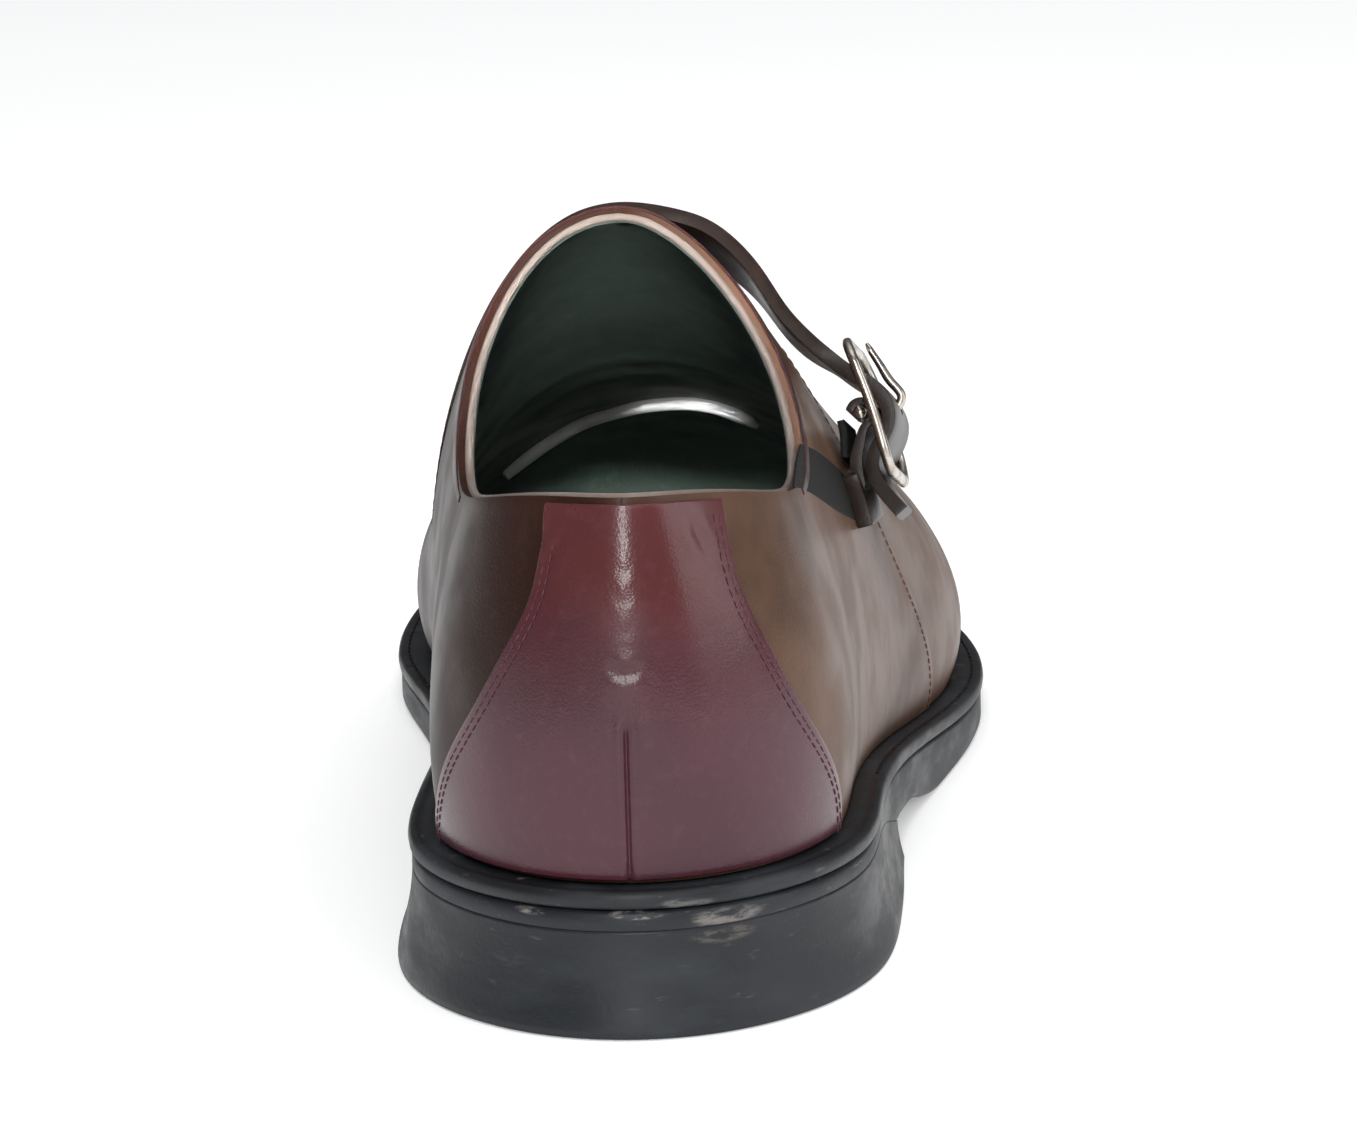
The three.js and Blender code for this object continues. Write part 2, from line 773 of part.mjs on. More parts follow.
add('outsole', makeOutsole(), 0x24262b, 0.6)
add('heel', makeHeel(), 0x2a2d33, 0.6)
add('welt', makeWelt(), 0x1f2024, 0.45)
add('insole', makeInsole(), 0x1d221f, 0.8)
add('upper', makeUpper(), 0x47302c, 0.35)
add('heel_counter', makeCounter(), 0x562e2f, 0.3)
add('strap', makeStrap(), 0x2a1b17, 0.35)
add('buckle_tab', band(tabRows(), 34), 0x2a1b17, 0.4)
add('buckle_elastic', makeElastic(), 0x17181a, 0.9)
add('buckle_frame', makeFrame(), 0xb1aaa3, 0.3, 1)
add('buckle_bar', makeBar(), 0xb1aaa3, 0.3, 1)
add('buckle_prong', makeProng(), 0xb1aaa3, 0.3, 1)

export default group
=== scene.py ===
# %% [markdown]
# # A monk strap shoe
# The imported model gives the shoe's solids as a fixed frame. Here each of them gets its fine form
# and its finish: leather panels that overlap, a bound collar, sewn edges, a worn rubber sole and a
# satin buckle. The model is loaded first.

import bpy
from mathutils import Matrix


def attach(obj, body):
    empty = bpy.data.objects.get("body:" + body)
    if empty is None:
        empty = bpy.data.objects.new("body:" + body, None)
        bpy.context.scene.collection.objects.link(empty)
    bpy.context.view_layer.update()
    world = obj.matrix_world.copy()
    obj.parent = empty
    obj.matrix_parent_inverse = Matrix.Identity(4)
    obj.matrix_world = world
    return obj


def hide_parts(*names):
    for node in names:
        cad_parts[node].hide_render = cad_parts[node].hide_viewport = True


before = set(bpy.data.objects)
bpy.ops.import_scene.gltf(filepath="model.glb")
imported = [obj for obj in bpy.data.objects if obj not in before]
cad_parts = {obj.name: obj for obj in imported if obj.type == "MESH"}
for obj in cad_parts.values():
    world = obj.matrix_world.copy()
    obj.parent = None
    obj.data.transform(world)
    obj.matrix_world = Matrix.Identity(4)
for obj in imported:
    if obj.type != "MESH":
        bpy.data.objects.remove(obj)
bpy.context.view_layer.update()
print("solids", sorted(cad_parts))

# %% [markdown]
# ## Curves and the last
# A shoemaker builds on a last. Everything here follows the same last as the solids do: the feather
# line is a closed outline, and from each of its points a rib rises to the ridge. Points on it are
# found by a turn, 0 at the back of the heel, 90 on the outer side and 180 at the toe, and by a
# share of the rib's height. Lengths are in millimetres and +Y points to the toe.

# %% A smooth curve through a short table
import math

import bmesh
import bpy
import numpy as np
from mathutils import Matrix, Vector

MM = 0.001


def curve(rows, period=None):
    """A natural cubic curve through rows of (x, y). With a period, the rows repeat."""
    rows = np.asarray(rows, float)
    if period:
        rows = np.vstack([rows[-5:-1] - (period, 0), rows, rows[1:5] + (period, 0)])
    x, y = rows.T
    step = np.diff(x)
    system, right = np.eye(len(x)), np.zeros(len(x))
    for i in range(1, len(x) - 1):
        system[i, i - 1 : i + 2] = step[i - 1], 2 * (step[i - 1] + step[i]), step[i]
        right[i] = 6 * ((y[i + 1] - y[i]) / step[i] - (y[i] - y[i - 1]) / step[i - 1])
    bend = np.linalg.solve(system, right)

    def at(q):
        q = np.mod(q, period) if period else np.asarray(q, float)
        i = np.clip(np.searchsorted(x, q, side="right") - 1, 0, len(x) - 2)
        a, b = (x[i + 1] - q) / step[i], (q - x[i]) / step[i]
        cubic = (a**3 - a) * bend[i] + (b**3 - b) * bend[i + 1]
        return a * y[i] + b * y[i + 1] + cubic * step[i] ** 2 / 6

    return at


def through(rows, count):
    """count rows on a smooth curve through a few rows of numbers."""
    rows = np.asarray(rows, float)
    places = np.linspace(0, len(rows) - 1, count)
    return np.stack([curve(list(enumerate(column)))(places) for column in rows.T], -1)


print("halfway through 0, 1, 0 lies", curve([(0, 0), (1, 1), (2, 0)])(0.5))


# %% The last's tables
HEEL_BACK, TOE_TIP, TOE_X = -32, 254, -7
RIDGE_BACK, RIDGE_FRONT = -20, 228
LENGTH = TOE_TIP - HEEL_BACK

# Feather line: y, x on the outer side, x on the inner side.
PLAN = [
    (-23, 18.5, -18.5), (-2, 29.0, -29.0), (28, 31.5, -31.0), (65, 34.5, -31.5),
    (100, 40.0, -33.0), (130, 46.0, -36.5), (152, 48.5, -40.5), (175, 47.5, -45.0),
    (195, 43.5, -46.0), (215, 36.0, -43.5), (235, 24.5, -36.0), (248, 11.0, -25.5),
]
# Ribs: y of the foot, rise, flare on the outer and inner side, crown on the outer and inner side.
RIBS = [
    (-32, 34, 5.5, 5.5, 2.0, 2.0), (-10, 34, 6.5, 6.5, 6.5, 7.0), (20, 34, 7.0, 7.5, 9.0, 12.0),
    (60, 33, 8.5, 11.5, 15.5, 22.0), (100, 30, 10.5, 13.5, 21.0, 27.0),
    (140, 25, 11.0, 12.0, 25.0, 28.0), (180, 21, 9.5, 9.5, 28.0, 30.0),
    (215, 18, 7.5, 8.0, 26.0, 27.0), (240, 17, 6.0, 6.5, 23.0, 23.0),
    (254, 16, 5.0, 5.0, 20.0, 20.0),
]


def turn_of(y):
    return math.degrees(math.acos(1 - 2 * (y - HEEL_BACK) / LENGTH))


def around_foot(rows, outer, inner, heel=None, toe=None):
    """One periodic curve of the turn from a table with a column for each side of the foot."""
    one_side = [(turn_of(row[0]), row[outer]) for row in rows]
    other_side = [(360 - turn_of(row[0]), row[inner]) for row in reversed(rows)]
    if toe is None:
        return curve(one_side + other_side[1:], 360)
    return curve([(0, heel), *one_side, (180, toe), *other_side, (360, heel)], 360)


plan_x = around_foot(PLAN, 1, 2, 0, TOE_X)
rise, flare, crown = (around_foot(RIBS, *columns) for columns in ((1, 1), (2, 3), (4, 5)))
feather_z = curve([
    (-36, 22.0), (0, 21.4), (35, 20.0), (70, 16.6), (105, 12.6),
    (140, 10.0), (170, 9.3), (200, 9.8), (228, 12.8), (262, 21.0),
])
ridge_x = curve([(-20, 0), (30, -1.5), (75, -4), (120, -4), (170, -3.5), (228, -7)])
ridge_z = curve([
    (-20, 100), (0, 108), (25, 113.5), (50, 112), (72, 105), (95, 92.5),
    (120, 78.5), (145, 67.5), (170, 59.5), (195, 53.5), (212, 50), (228, 45),
])
# Side view of the topline. Ahead of its last point the throat rises at a steady slope.
THROAT_Y, THROAT_Z, THROAT_SLOPE = 71, 105.2, 2.2
topline_z = curve([
    (-40, 78.8), (-25, 77.6), (-5, 73.8), (15, 70.5), (35, 72.0), (52, 79.5), (64, 91.5),
    (THROAT_Y, THROAT_Z),
])
print("feather line", LENGTH, "mm long")


# %% Points on the last
def outline(turn, out=0.0):
    """x and y of the feather line at a turn in degrees, moved outwards."""
    foot_y = lambda t: HEEL_BACK + LENGTH * (1 - np.cos(np.radians(t))) / 2
    dx = plan_x(turn + 0.005) - plan_x(turn - 0.005)
    dy = foot_y(turn + 0.005) - foot_y(turn - 0.005)
    size = np.hypot(dx, dy)
    return plan_x(turn) + dy / size * out, foot_y(turn) - dx / size * out


def last(turn, share):
    turn, share = np.broadcast_arrays(np.asarray(turn, float), np.asarray(share, float))
    x, y = outline(turn)
    far_x, far_y = outline(turn, 1.0)
    out_x, out_y = far_x - x, far_y - y
    ridge_y = RIDGE_BACK + (RIDGE_FRONT - RIDGE_BACK) * (1 - np.cos(np.radians(turn))) / 2
    slope = (ridge_z(ridge_y + 0.01) - ridge_z(ridge_y - 0.01)) / 0.02
    start = np.stack([x, y, feather_z(y)], -1)
    low = start + np.stack([out_x * flare(turn), out_y * flare(turn), rise(turn)], -1)
    end = np.stack([ridge_x(ridge_y), ridge_y, ridge_z(ridge_y)], -1)
    high = end + np.stack([out_x, out_y, out_y * slope], -1) * crown(turn)[..., None]
    s = share[..., None]
    ends = (1 - s) ** 3 * start + s**3 * end
    return ends + 3 * (1 - s) ** 2 * s * low + 3 * (1 - s) * s * s * high


def outward(turn, share):
    """The direction straight out of the last."""
    share = np.minimum(share, 0.999)
    across = last(turn + 0.05, share) - last(turn - 0.05, share)
    up = last(turn, share + 0.001) - last(turn, share - 0.001)
    normal = np.cross(across, up)
    return normal / np.linalg.norm(normal, axis=-1, keepdims=True)


def topline_share(turn):
    """How far up its rib the upper reaches: to the topline, or to the ridge ahead of the throat."""
    shares = np.linspace(0.3, 1, 141)
    turns = np.asarray(turn, float).reshape(-1)
    y, z = np.moveaxis(last(turns[:, None], shares[None, :])[..., 1:], -1, 0)
    over = z - np.where(y > THROAT_Y, THROAT_Z + (y - THROAT_Y) * THROAT_SLOPE,
                        topline_z(np.minimum(y, THROAT_Y)))
    k = np.maximum((over > 0).argmax(1), 1)
    before, after = (over[np.arange(len(turns)), i] for i in (k - 1, k))
    found = shares[k - 1] + (shares[k] - shares[k - 1]) * before / (before - after)
    return np.where((over > 0).any(1), found, 1.0).reshape(np.shape(turn))


low, high = 60.0, 90.0  # turns with the throat between them
while high - low > 1e-4:
    middle = (low + high) / 2
    low, high = (middle, high) if topline_share(middle) < 1 else (low, middle)
THROAT = high
print("the throat lies at turn", round(THROAT, 2), "degrees")

# %% [markdown]
# ## Making meshes
# A leather panel is a sheet with a thickness. The sheet is a grid of points, and a wall is made
# from it by moving each point in and out along the sheet's own normal and closing the rim. A Bevel
# modifier then rounds the cut edges, as a finger-worn edge is rounded. Solidify could thicken the
# sheet too, but here the thickness has to change from place to place.


# %% Grids, walls and pieces
def grid(rows, columns, closed=False, tube=False):
    """Quads between points stored row by row. closed joins the last row on to the first, and
    tube the last column."""
    index = np.arange(rows * columns).reshape(rows, columns)
    if tube:
        index = np.hstack([index, index[:, :1]])
    if closed:
        index = np.vstack([index, index[:1]])
    corners = index[:-1, :-1], index[1:, :-1], index[1:, 1:], index[:-1, 1:]
    return np.stack(corners, -1).reshape(-1, 4)


def weld(points, faces):
    """Merges points that coincide. The third result is one old number for each new point."""
    _, first, new = np.unique(np.round(points, 3), axis=0, return_index=True, return_inverse=True)
    return points[first], new.reshape(-1)[faces], first


def sheet_normals(points, faces):
    corner = points[faces]
    normal = np.cross(corner[:, 2] - corner[:, 0], corner[:, 3] - corner[:, 1])
    total = np.zeros_like(points)
    for k in range(4):
        np.add.at(total, faces[:, k], normal)
    return total / np.maximum(np.linalg.norm(total, axis=1, keepdims=True), 1e-9)


INSIDE_SHOE = np.array((0, 100, 30))


def wall(points, faces, inner, outer, inside=INSIDE_SHOE):
    """Points and faces of a closed wall around a sheet; inner and outer are distances from it."""
    count = len(points)
    points, faces, first = weld(points, faces)
    inner, outer = (np.broadcast_to(d, (count,))[first][:, None] for d in (inner, outer))
    normal = sheet_normals(points, faces)
    if ((points - inside) * normal).sum() < 0:
        faces, normal = faces[:, ::-1], -normal
    edges = {(a, b) for face in faces for a, b in zip(face, np.roll(face, -1)) if a != b}
    rim = [(b, a, a + len(points), b + len(points)) for a, b in edges if (b, a) not in edges]
    below = faces[:, ::-1] + len(points)
    return np.vstack([points + normal * outer, points + normal * inner]), [*faces, *below, *rim]


def new_object(name, points, edges, faces):
    """An object in the scene from points in millimetres."""
    edges, faces = ([[int(i) for i in row] for row in rows] for rows in (edges, faces))
    mesh = bpy.data.meshes.new(name)
    mesh.from_pydata((np.asarray(points) * MM).tolist(), edges, faces)
    made = bpy.data.objects.new(name, mesh)
    bpy.context.scene.collection.objects.link(made)
    return made


def piece(name, points, faces, material, slot, replaces=(), edge=0.0, body="root"):
    """A closed mesh from millimetres, riding on the body. edge rounds its sharp edges."""
    clean = ([c for i, c in enumerate(face) if c != face[i - 1]] for face in faces)
    made = new_object(name, points, [], [corners for corners in clean if len(set(corners)) > 2])
    work = bmesh.new()
    work.from_mesh(made.data)
    bmesh.ops.remove_doubles(work, verts=work.verts, dist=1e-6)
    bmesh.ops.recalc_face_normals(work, faces=work.faces)
    open_edges = sum(not e.is_manifold for e in work.edges)
    work.to_mesh(made.data)
    work.free()
    made.data.shade_smooth()
    made.data.materials.append(material)
    if edge:
        bevel = made.modifiers.new("rounded edge", "BEVEL")
        bevel.width, bevel.segments = edge * MM, 3
        bevel.limit_method, bevel.angle_limit = "ANGLE", math.radians(50)
    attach(made, body)
    if replaces:
        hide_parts(*replaces)
    print(name, len(made.data.polygons), "faces", open_edges, "open edges")
    return made


def apply_modifiers(made):
    """Gives the object the mesh that its modifiers make."""
    bpy.context.view_layer.update()
    result = made.evaluated_get(bpy.context.evaluated_depsgraph_get())
    real = bpy.data.meshes.new_from_object(result)
    made.modifiers.clear()
    made.data = real
    return real


# %% [markdown]
# ## Materials
# The leather is calf, dyed, polished and by now well worn. What gives it away is the fine pebbled
# grain, a deep even dye that thins where it is rubbed, and a wax gloss that changes from place to
# place. The counter is oxblood, the quarters and vamp are brown and the strap is nearly black.
# All patterns read the object's own coordinates, which are metres on the real shoe.


# %% Colours and nodes
def srgb(code):
    """A hex colour as linear red, green, blue and alpha."""
    parts = [int(code[i : i + 2], 16) / 255 for i in (1, 3, 5)]
    return (*[p / 12.92 if p <= 0.04045 else ((p + 0.055) / 1.055) ** 2.4 for p in parts], 1.0)


def add(tree, kind, inputs=None, **settings):
    """Adds a node. inputs gives a socket's value, or the other node's output that feeds it."""
    made = tree.nodes.new(kind)
    for key, value in settings.items():
        setattr(made, key, value)
    for key, value in (inputs or {}).items():
        if isinstance(value, bpy.types.NodeSocket):
            tree.links.new(value, made.inputs[key])
        else:
            made.inputs[key].default_value = value
    return made


def per_mm(size):
    """The scale of a pattern whose features have this size in millimetres."""
    return 1 / (size * MM)


def new_material(name, **shading):
    """A material with its tree, its surface shader and the object's coordinates."""
    material = bpy.data.materials.new(name)
    material.use_nodes = True
    tree = material.node_tree
    tree.nodes.clear()
    shader = add(tree, "ShaderNodeBsdfPrincipled", shading)
    add(tree, "ShaderNodeOutputMaterial", {"Surface": shader.outputs["BSDF"]})
    place = add(tree, "ShaderNodeTexCoord").outputs["Object"]
    return material, tree, shader, place


def layer(tree, pattern, start, full, amount, under, over):
    """A colour laid over another, up to an amount, as a pattern rises from start to full."""
    limits = {"Value": pattern, "From Min": start, "From Max": full, "To Max": amount}
    share = add(tree, "ShaderNodeMapRange", limits, interpolation_type="SMOOTHSTEP").outputs[0]
    under, over = (srgb(c) if isinstance(c, str) else c for c in (under, over))
    return add(tree, "ShaderNodeMix", {0: share, 6: under, 7: over}, data_type="RGBA").outputs[2]


def surface(tree, shader, colour, pattern, start, full, gloss, height, strength, depth):
    """Gives the shader its colour, a gloss that follows a pattern, and a relief, deep in mm."""
    limits = {"Value": pattern, "From Min": start, "From Max": full,
              "To Min": gloss[0], "To Max": gloss[1]}
    rough = add(tree, "ShaderNodeMapRange", limits, interpolation_type="SMOOTHSTEP").outputs[0]
    relief = {"Height": height, "Strength": strength, "Distance": depth * MM}
    normal = add(tree, "ShaderNodeBump", relief).outputs[0]
    for name, source in (("Base Color", colour), ("Roughness", rough), ("Normal", normal)):
        tree.links.new(source, shader.inputs[name])
    return normal


print("nickel grey is", [round(c, 3) for c in srgb("#cbc4bb")])


# %% Leather
def leather(name, dye, deep, rubbed, gloss, relief=0.03, ior=1.3, coat=0.04, scuffs=0.15,
            fade=None):
    """Calf leather. gloss is the lowest and highest roughness, and relief the grain's depth in mm.

    fade is (axis, from mm, to mm, colour): the colour changes to that one along the axis. On the
    brown calf this is painted light: its outer side is painted paler, as if lit from that side."""
    shading = {"IOR": ior, "Coat Weight": coat, "Coat Roughness": 0.14, "Coat IOR": 1.4}
    material, tree, shader, place = new_material(name, **shading)
    # The fade. On the brown calf it is painted light: the outer side is painted paler, for the
    # light and the reflected room that fall on that side.
    if fade:
        axis, start, end, far_colour = fade
        split = add(tree, "ShaderNodeSeparateXYZ", {"Vector": place})
        slow = {"Vector": place, "Scale": per_mm(18), "Detail": 3.0}
        drift = add(tree, "ShaderNodeTexNoise", slow).outputs[0]
        reach = (end - start) * 0.7
        moved = add(tree, "ShaderNodeMath", {0: drift, 1: reach * MM, 2: split.outputs[axis]},
                    operation="MULTIPLY_ADD").outputs[0]
        start, end = (edge + reach / 2 for edge in (start, end))
        dye = layer(tree, moved, start * MM, end * MM, 1.0, dye, far_colour)
    # Broad cloudy dye, small mottling, folds between the pebbles, and wax: size in mm, detail.
    cloud, mottle, fold, wax = (
        add(tree, "ShaderNodeTexNoise", {"Vector": place, "Scale": per_mm(size), "Detail": detail}
            ).outputs[0] for size, detail in ((26, 3.0), (2, 3.0), (6, 2.0), (14, 5.0)))
    colour = layer(tree, cloud, 0.42, 0.70, 0.5, dye, deep)
    colour = layer(tree, mottle, 0.52, 0.75, 0.16, colour, rubbed)
    # Short rubbed scuffs, wider than they are tall.
    flat = add(tree, "ShaderNodeMapping", {"Vector": place, "Scale": (1.0, 1.0, 3.2)}).outputs[0]
    rub = add(tree, "ShaderNodeTexNoise", {"Vector": flat, "Scale": per_mm(9), "Detail": 6.0,
                                           "Roughness": 0.65})
    colour = layer(tree, rub.outputs[0], 0.60, 0.78, scuffs, colour, rubbed)
    # Grain: pebbles of 0.45 mm, with the folds as a soft unevenness under them.
    pebble = add(tree, "ShaderNodeTexVoronoi", {"Vector": place, "Scale": per_mm(0.45)})
    high = add(tree, "ShaderNodeMath", {0: fold, 1: 0.7}, operation="MULTIPLY").outputs[0]
    height = add(tree, "ShaderNodeMath", {0: high, 1: pebble.outputs["Distance"]},
                 operation="SUBTRACT").outputs[0]
    # Gloss is uneven: wax fills the grain in some places and is gone in others.
    normal = surface(tree, shader, colour, wax, 0.35, 0.68, gloss, height, 0.8, relief)
    tree.links.new(normal, shader.inputs["Coat Normal"])
    return material


oxblood_calf = leather("oxblood calf, polished", "#44212b", "#331820", "#5d3a43", (0.22, 0.32),
                       relief=0.02, ior=1.42, coat=0.15, fade=("Z", 40, 66, "#4a2223"))
# The brown calf is dark on the inner side and painted paler towards the outer side. This is painted
# light and painted reflection, not a change of dye.
brown_calf = leather("brown calf, polished", "#2a1710", "#20110c", "#43302a", (0.34, 0.46),
                     ior=1.22, coat=0.02, scuffs=0.1, fade=("X", -8, 26, "#5c4436"))
binding_calf = leather("dark red-brown binding calf", "#331c1b", "#271615", "#523735", (0.3, 0.44))
strap_calf = leather("dark strap calf", "#1c130f", "#130d0a", "#3b2c25", (0.3, 0.44), relief=0.02)
lining_calf = leather("dark green lining leather", "#323b36", "#272f2b", "#4c5751", (0.4, 0.55))
sock_calf = leather("sock lining, worn", "#33362f", "#262822", "#4a463c", (0.5, 0.7))
rim_calf = leather("raw folded edge, rubbed pale", "#6a605a", "#534a44", "#8c827b", (0.6, 0.75),
                   scuffs=0.5)
piping_cloth = leather("pale piping, waxed cloth", "#ececea", "#d8d8d5", "#f3f2f0", (0.45, 0.6))
print("leathers made")


# %% [markdown]
# Rubber for the sole is moulded, so it has no grain of its own. Its look comes from use: it is
# dull and faintly streaked along its length, dust sits in the scrapes, and its upper lip carries a
# few pale scuffs in set places, each a flat patch round a point of the shoe. One pale patch, at the
# back middle of the lip, is a painted highlight: a glint drawn in the dust colour.


# %% Sole rubber
FLATTENED = 5.0  # how much longer than tall a scuff is


def rubber(name, base, grey, dust, scuffs):
    """Black rubber. scuffs are (x, y, z, length, strength) in mm, and the last a share. Each is a
    patch of the dust colour, and one such patch on the lip is a painted glint.
    """
    shading = {"IOR": 1.38, "Coat Weight": 0.06, "Coat Roughness": 0.3}
    material, tree, shader, place = new_material(name, **shading)
    level = add(tree, "ShaderNodeMapping", {"Vector": place, "Scale": (1.0, 1.0, 3.5)}).outputs[0]
    streak, chips = (
        add(tree, "ShaderNodeTexNoise", {"Vector": level, "Scale": per_mm(size), "Detail": detail,
                                         "Roughness": rough}).outputs[0]
        for size, detail, rough in ((22, 6.0, 0.6), (5, 8.0, 0.7)))
    colour = layer(tree, streak, 0.40, 0.70, 0.7, base, grey)
    colour = layer(tree, chips, 0.60, 0.74, 0.3, colour, dust)
    flat = add(tree, "ShaderNodeMapping", {"Vector": place, "Scale": (1.0, 1.0, FLATTENED)})
    # Each patch is laid in the dust colour round its middle. The lip's patch at the back middle is
    # a painted glint.
    for x, y, z, length, strength in scuffs:
        ends = {0: flat.outputs[0], 1: (x * MM, y * MM, z * FLATTENED * MM)}
        away = add(tree, "ShaderNodeVectorMath", ends, operation="DISTANCE").outputs[1]
        dust_and_glint_patch = layer(tree, chips, 0.42, 0.58, strength, colour, dust)
        colour = layer(tree, away, length * MM * 0.5, length * MM * 0.3, 1.0, colour, dust_and_glint_patch)
    fine = add(tree, "ShaderNodeTexNoise", {"Vector": place, "Scale": per_mm(0.9), "Detail": 3.0})
    height = add(tree, "ShaderNodeMath", {0: fine.outputs[0], 1: chips}, operation="SUBTRACT")
    surface(tree, shader, colour, streak, 0.35, 0.65, (0.40, 0.62), height.outputs[0], 0.8, 0.07)
    return material


# Middle, length and strength of each scuff. On the lip, the patch at x 1 in the back middle is a
# painted highlight, a glint, and not a scuff.
LIP_SCUFFS_AND_GLINT = [(-25, -30, 17.9, 10, 0.7), (-16, -34, 18.0, 8, 0.6), (1, -37, 18.3, 9, 0.9),
              (15, -35, 16.9, 16, 0.4), (36, -8, 17.3, 10, 0.5), (-41, 30, 16.2, 12, 0.4)]
WELT_SCUFFS = [(-20, -34, 19.5, 8, 0.4), (8, -36, 19.6, 10, 0.2), (30, -22, 20.2, 8, 0.3)]
BLOCK_SCUFFS = [(15, -36, 14.2, 15, 0.4), (-20, -33, 10.5, 12, 0.12), (38, 14, 8.0, 12, 0.15)]
heel_rubber = rubber("heel rubber, scraped", "#1b1e22", "#2c2f33", "#6e655d", BLOCK_SCUFFS)
edge_rubber = rubber("outsole edge, waxed rubber", "#1b1e22", "#2e3136", "#97908a", LIP_SCUFFS_AND_GLINT)
welt_rubber = rubber("welt, ink-blacked", "#17191c", "#303338", "#a8a5a1", WELT_SCUFFS)
print("rubber made, with", len(LIP_SCUFFS_AND_GLINT + WELT_SCUFFS + BLOCK_SCUFFS), "scuffs")


# %% [markdown]
# The buckle is cast zinc with a nickel plate, brushed and then handled until satin, so its gloss is
# soft and a little uneven. Thread and elastic are twisted or woven and have hardly any gloss.

# %% Metal, thread and elastic
def metal(name, tint, tarnish):
    """Nickel plate over cast zinc, brushed and handled until satin."""
    material, tree, shader, place = new_material(name, Metallic=1.0)
    cloudy = {"Vector": place, "Scale": per_mm(3), "Detail": 5.0}
    cloud = add(tree, "ShaderNodeTexNoise", cloudy).outputs[0]
    long_way = add(tree, "ShaderNodeMapping", {"Vector": place, "Scale": (1.0, 7.0, 1.0)})
    brushed = {"Vector": long_way.outputs[0], "Scale": per_mm(1.2), "Detail": 3.0}
    brush = add(tree, "ShaderNodeTexNoise", brushed).outputs[0]
    colour = layer(tree, cloud, 0.45, 0.70, 1.0, tint, tarnish)
    surface(tree, shader, colour, cloud, 0.35, 0.65, (0.22, 0.40), brush, 0.5, 0.01)
    return material


def thread(name, dye, light):
    """Waxed polyester thread. Its twist is 0.5 mm long, drawn as fine bands."""
    material, tree, shader, place = new_material(name, IOR=1.3)
    twisted = {"Vector": place, "Scale": per_mm(0.5), "Detail": 2.0}
    twist = add(tree, "ShaderNodeTexNoise", twisted).outputs[0]
    colour = layer(tree, twist, 0.4, 0.65, 1.0, dye, light)
    surface(tree, shader, colour, twist, 0.3, 0.7, (0.7, 0.9), twist, 1.0, 0.05)
    return material


satin_nickel = metal("satin nickel plate", "#cbc4bb", "#a1988c")
oxblood_thread = thread("oxblood thread", "#4f2b35", "#63404a")
brown_thread = thread("brown thread", "#4c392f", "#5f493d")
dark_thread = thread("dark thread", "#191412", "#2a211d")
black_elastic = thread("black woven elastic", "#131313", "#1e1d1b")
print("metal and thread made")

# %% [markdown]
# ## Where the leather has moved
# A worn shoe keeps the marks of the foot. Long creases cross the vamp where the toes bend. The
# counter has a short level dent at half height and a few soft upright folds under the collar. Each
# is a soft trough with a low ridge on both sides, laid along a few listed points.

# %% Creases
# Each crease: depth and half width in mm, then its line as turn and share of the rib.
CREASES = [
    (0.75, 2.6, [(104, 0.34), (103, 0.55), (103, 0.8), (103.5, 1.0)]),
    (0.65, 2.4, [(112, 0.36), (110, 0.6), (109, 0.85), (108.5, 1.0)]),
    (0.45, 2.2, [(118, 0.50), (116, 0.75), (114, 1.0)]),
    (0.70, 2.6, [(256, 0.40), (257, 0.6), (256.5, 0.8), (256.5, 1.0)]),
    (0.60, 2.4, [(247, 0.42), (250, 0.65), (251, 0.85), (251.5, 1.0)]),
    (0.40, 2.2, [(243, 0.55), (245, 0.8), (246, 1.0)]),
    (0.40, 0.9, [(357.0, 0.302), (0, 0.295), (3.2, 0.300)]),
    (0.10, 0.7, [(357.8, 0.40), (0, 0.395), (2.0, 0.40)]),
    (0.08, 0.6, [(358.0, 0.44), (0.4, 0.437), (2.4, 0.442)]),
    (0.08, 0.6, [(357.6, 0.355), (0, 0.35), (2.2, 0.355)]),
    (0.30, 1.3, [(344.5, 0.505), (343, 0.46), (341.5, 0.41)]),
    (0.22, 1.2, [(348, 0.50), (346.5, 0.46), (346, 0.43)]),
    (0.22, 1.2, [(14.5, 0.505), (15.5, 0.47), (17, 0.43)]),
]
crease_lines = []
for depth, width, line in CREASES:
    turns, shares = np.array(line).T
    turns = np.where(turns > 340, turns - 360, turns) if turns.min() < 20 else turns
    steps = np.linspace(0, len(line) - 1, 25)
    along = np.interp(steps, range(len(line)), turns), np.interp(steps, range(len(line)), shares)
    # It fades at its ends, except where it runs over the ridge to the other side.
    to_end = steps[-1] - steps + (shares[-1] == 1.0) * 9
    fade = np.clip(np.minimum(steps, to_end) * 1.6, 0, 1)
    crease_lines.append((depth, width, last(*along), fade))


def creases(points):
    """How far each point of the last is moved out by the creases, in mm."""
    moved = np.zeros(len(points))
    for depth, width, line, fade in crease_lines:
        near = (np.abs(points - line.mean(0)) < np.ptp(line, 0) / 2 + 3 * width).all(1)
        if not near.any():
            continue
        away = np.linalg.norm(points[near, None] - line[None], axis=2)
        closest = away.argmin(1)
        across = away.min(1) / width
        shape = -np.exp(-(across**2) * 1.6) + 0.42 * np.exp(-((across - 1.7) ** 2) * 1.8)
        moved[near] += depth * fade[closest] * shape
    return moved


print(len(CREASES), "creases")


def panel(name, turns, shares, inner, outer, material, slot, replaces=(), edge=0.35, closed=False,
          creased=1.0):
    """A leather panel on the last from grids of turns and shares, with its creases."""
    points = last(turns, shares).reshape(-1, 3)
    moved = creases(points) * creased
    inner, outer = (np.broadcast_to(d, turns.shape).reshape(-1) + moved for d in (inner, outer))
    faces = grid(*turns.shape, closed=closed)
    return piece(name, *wall(points, faces, inner, outer), material, slot, replaces, edge)


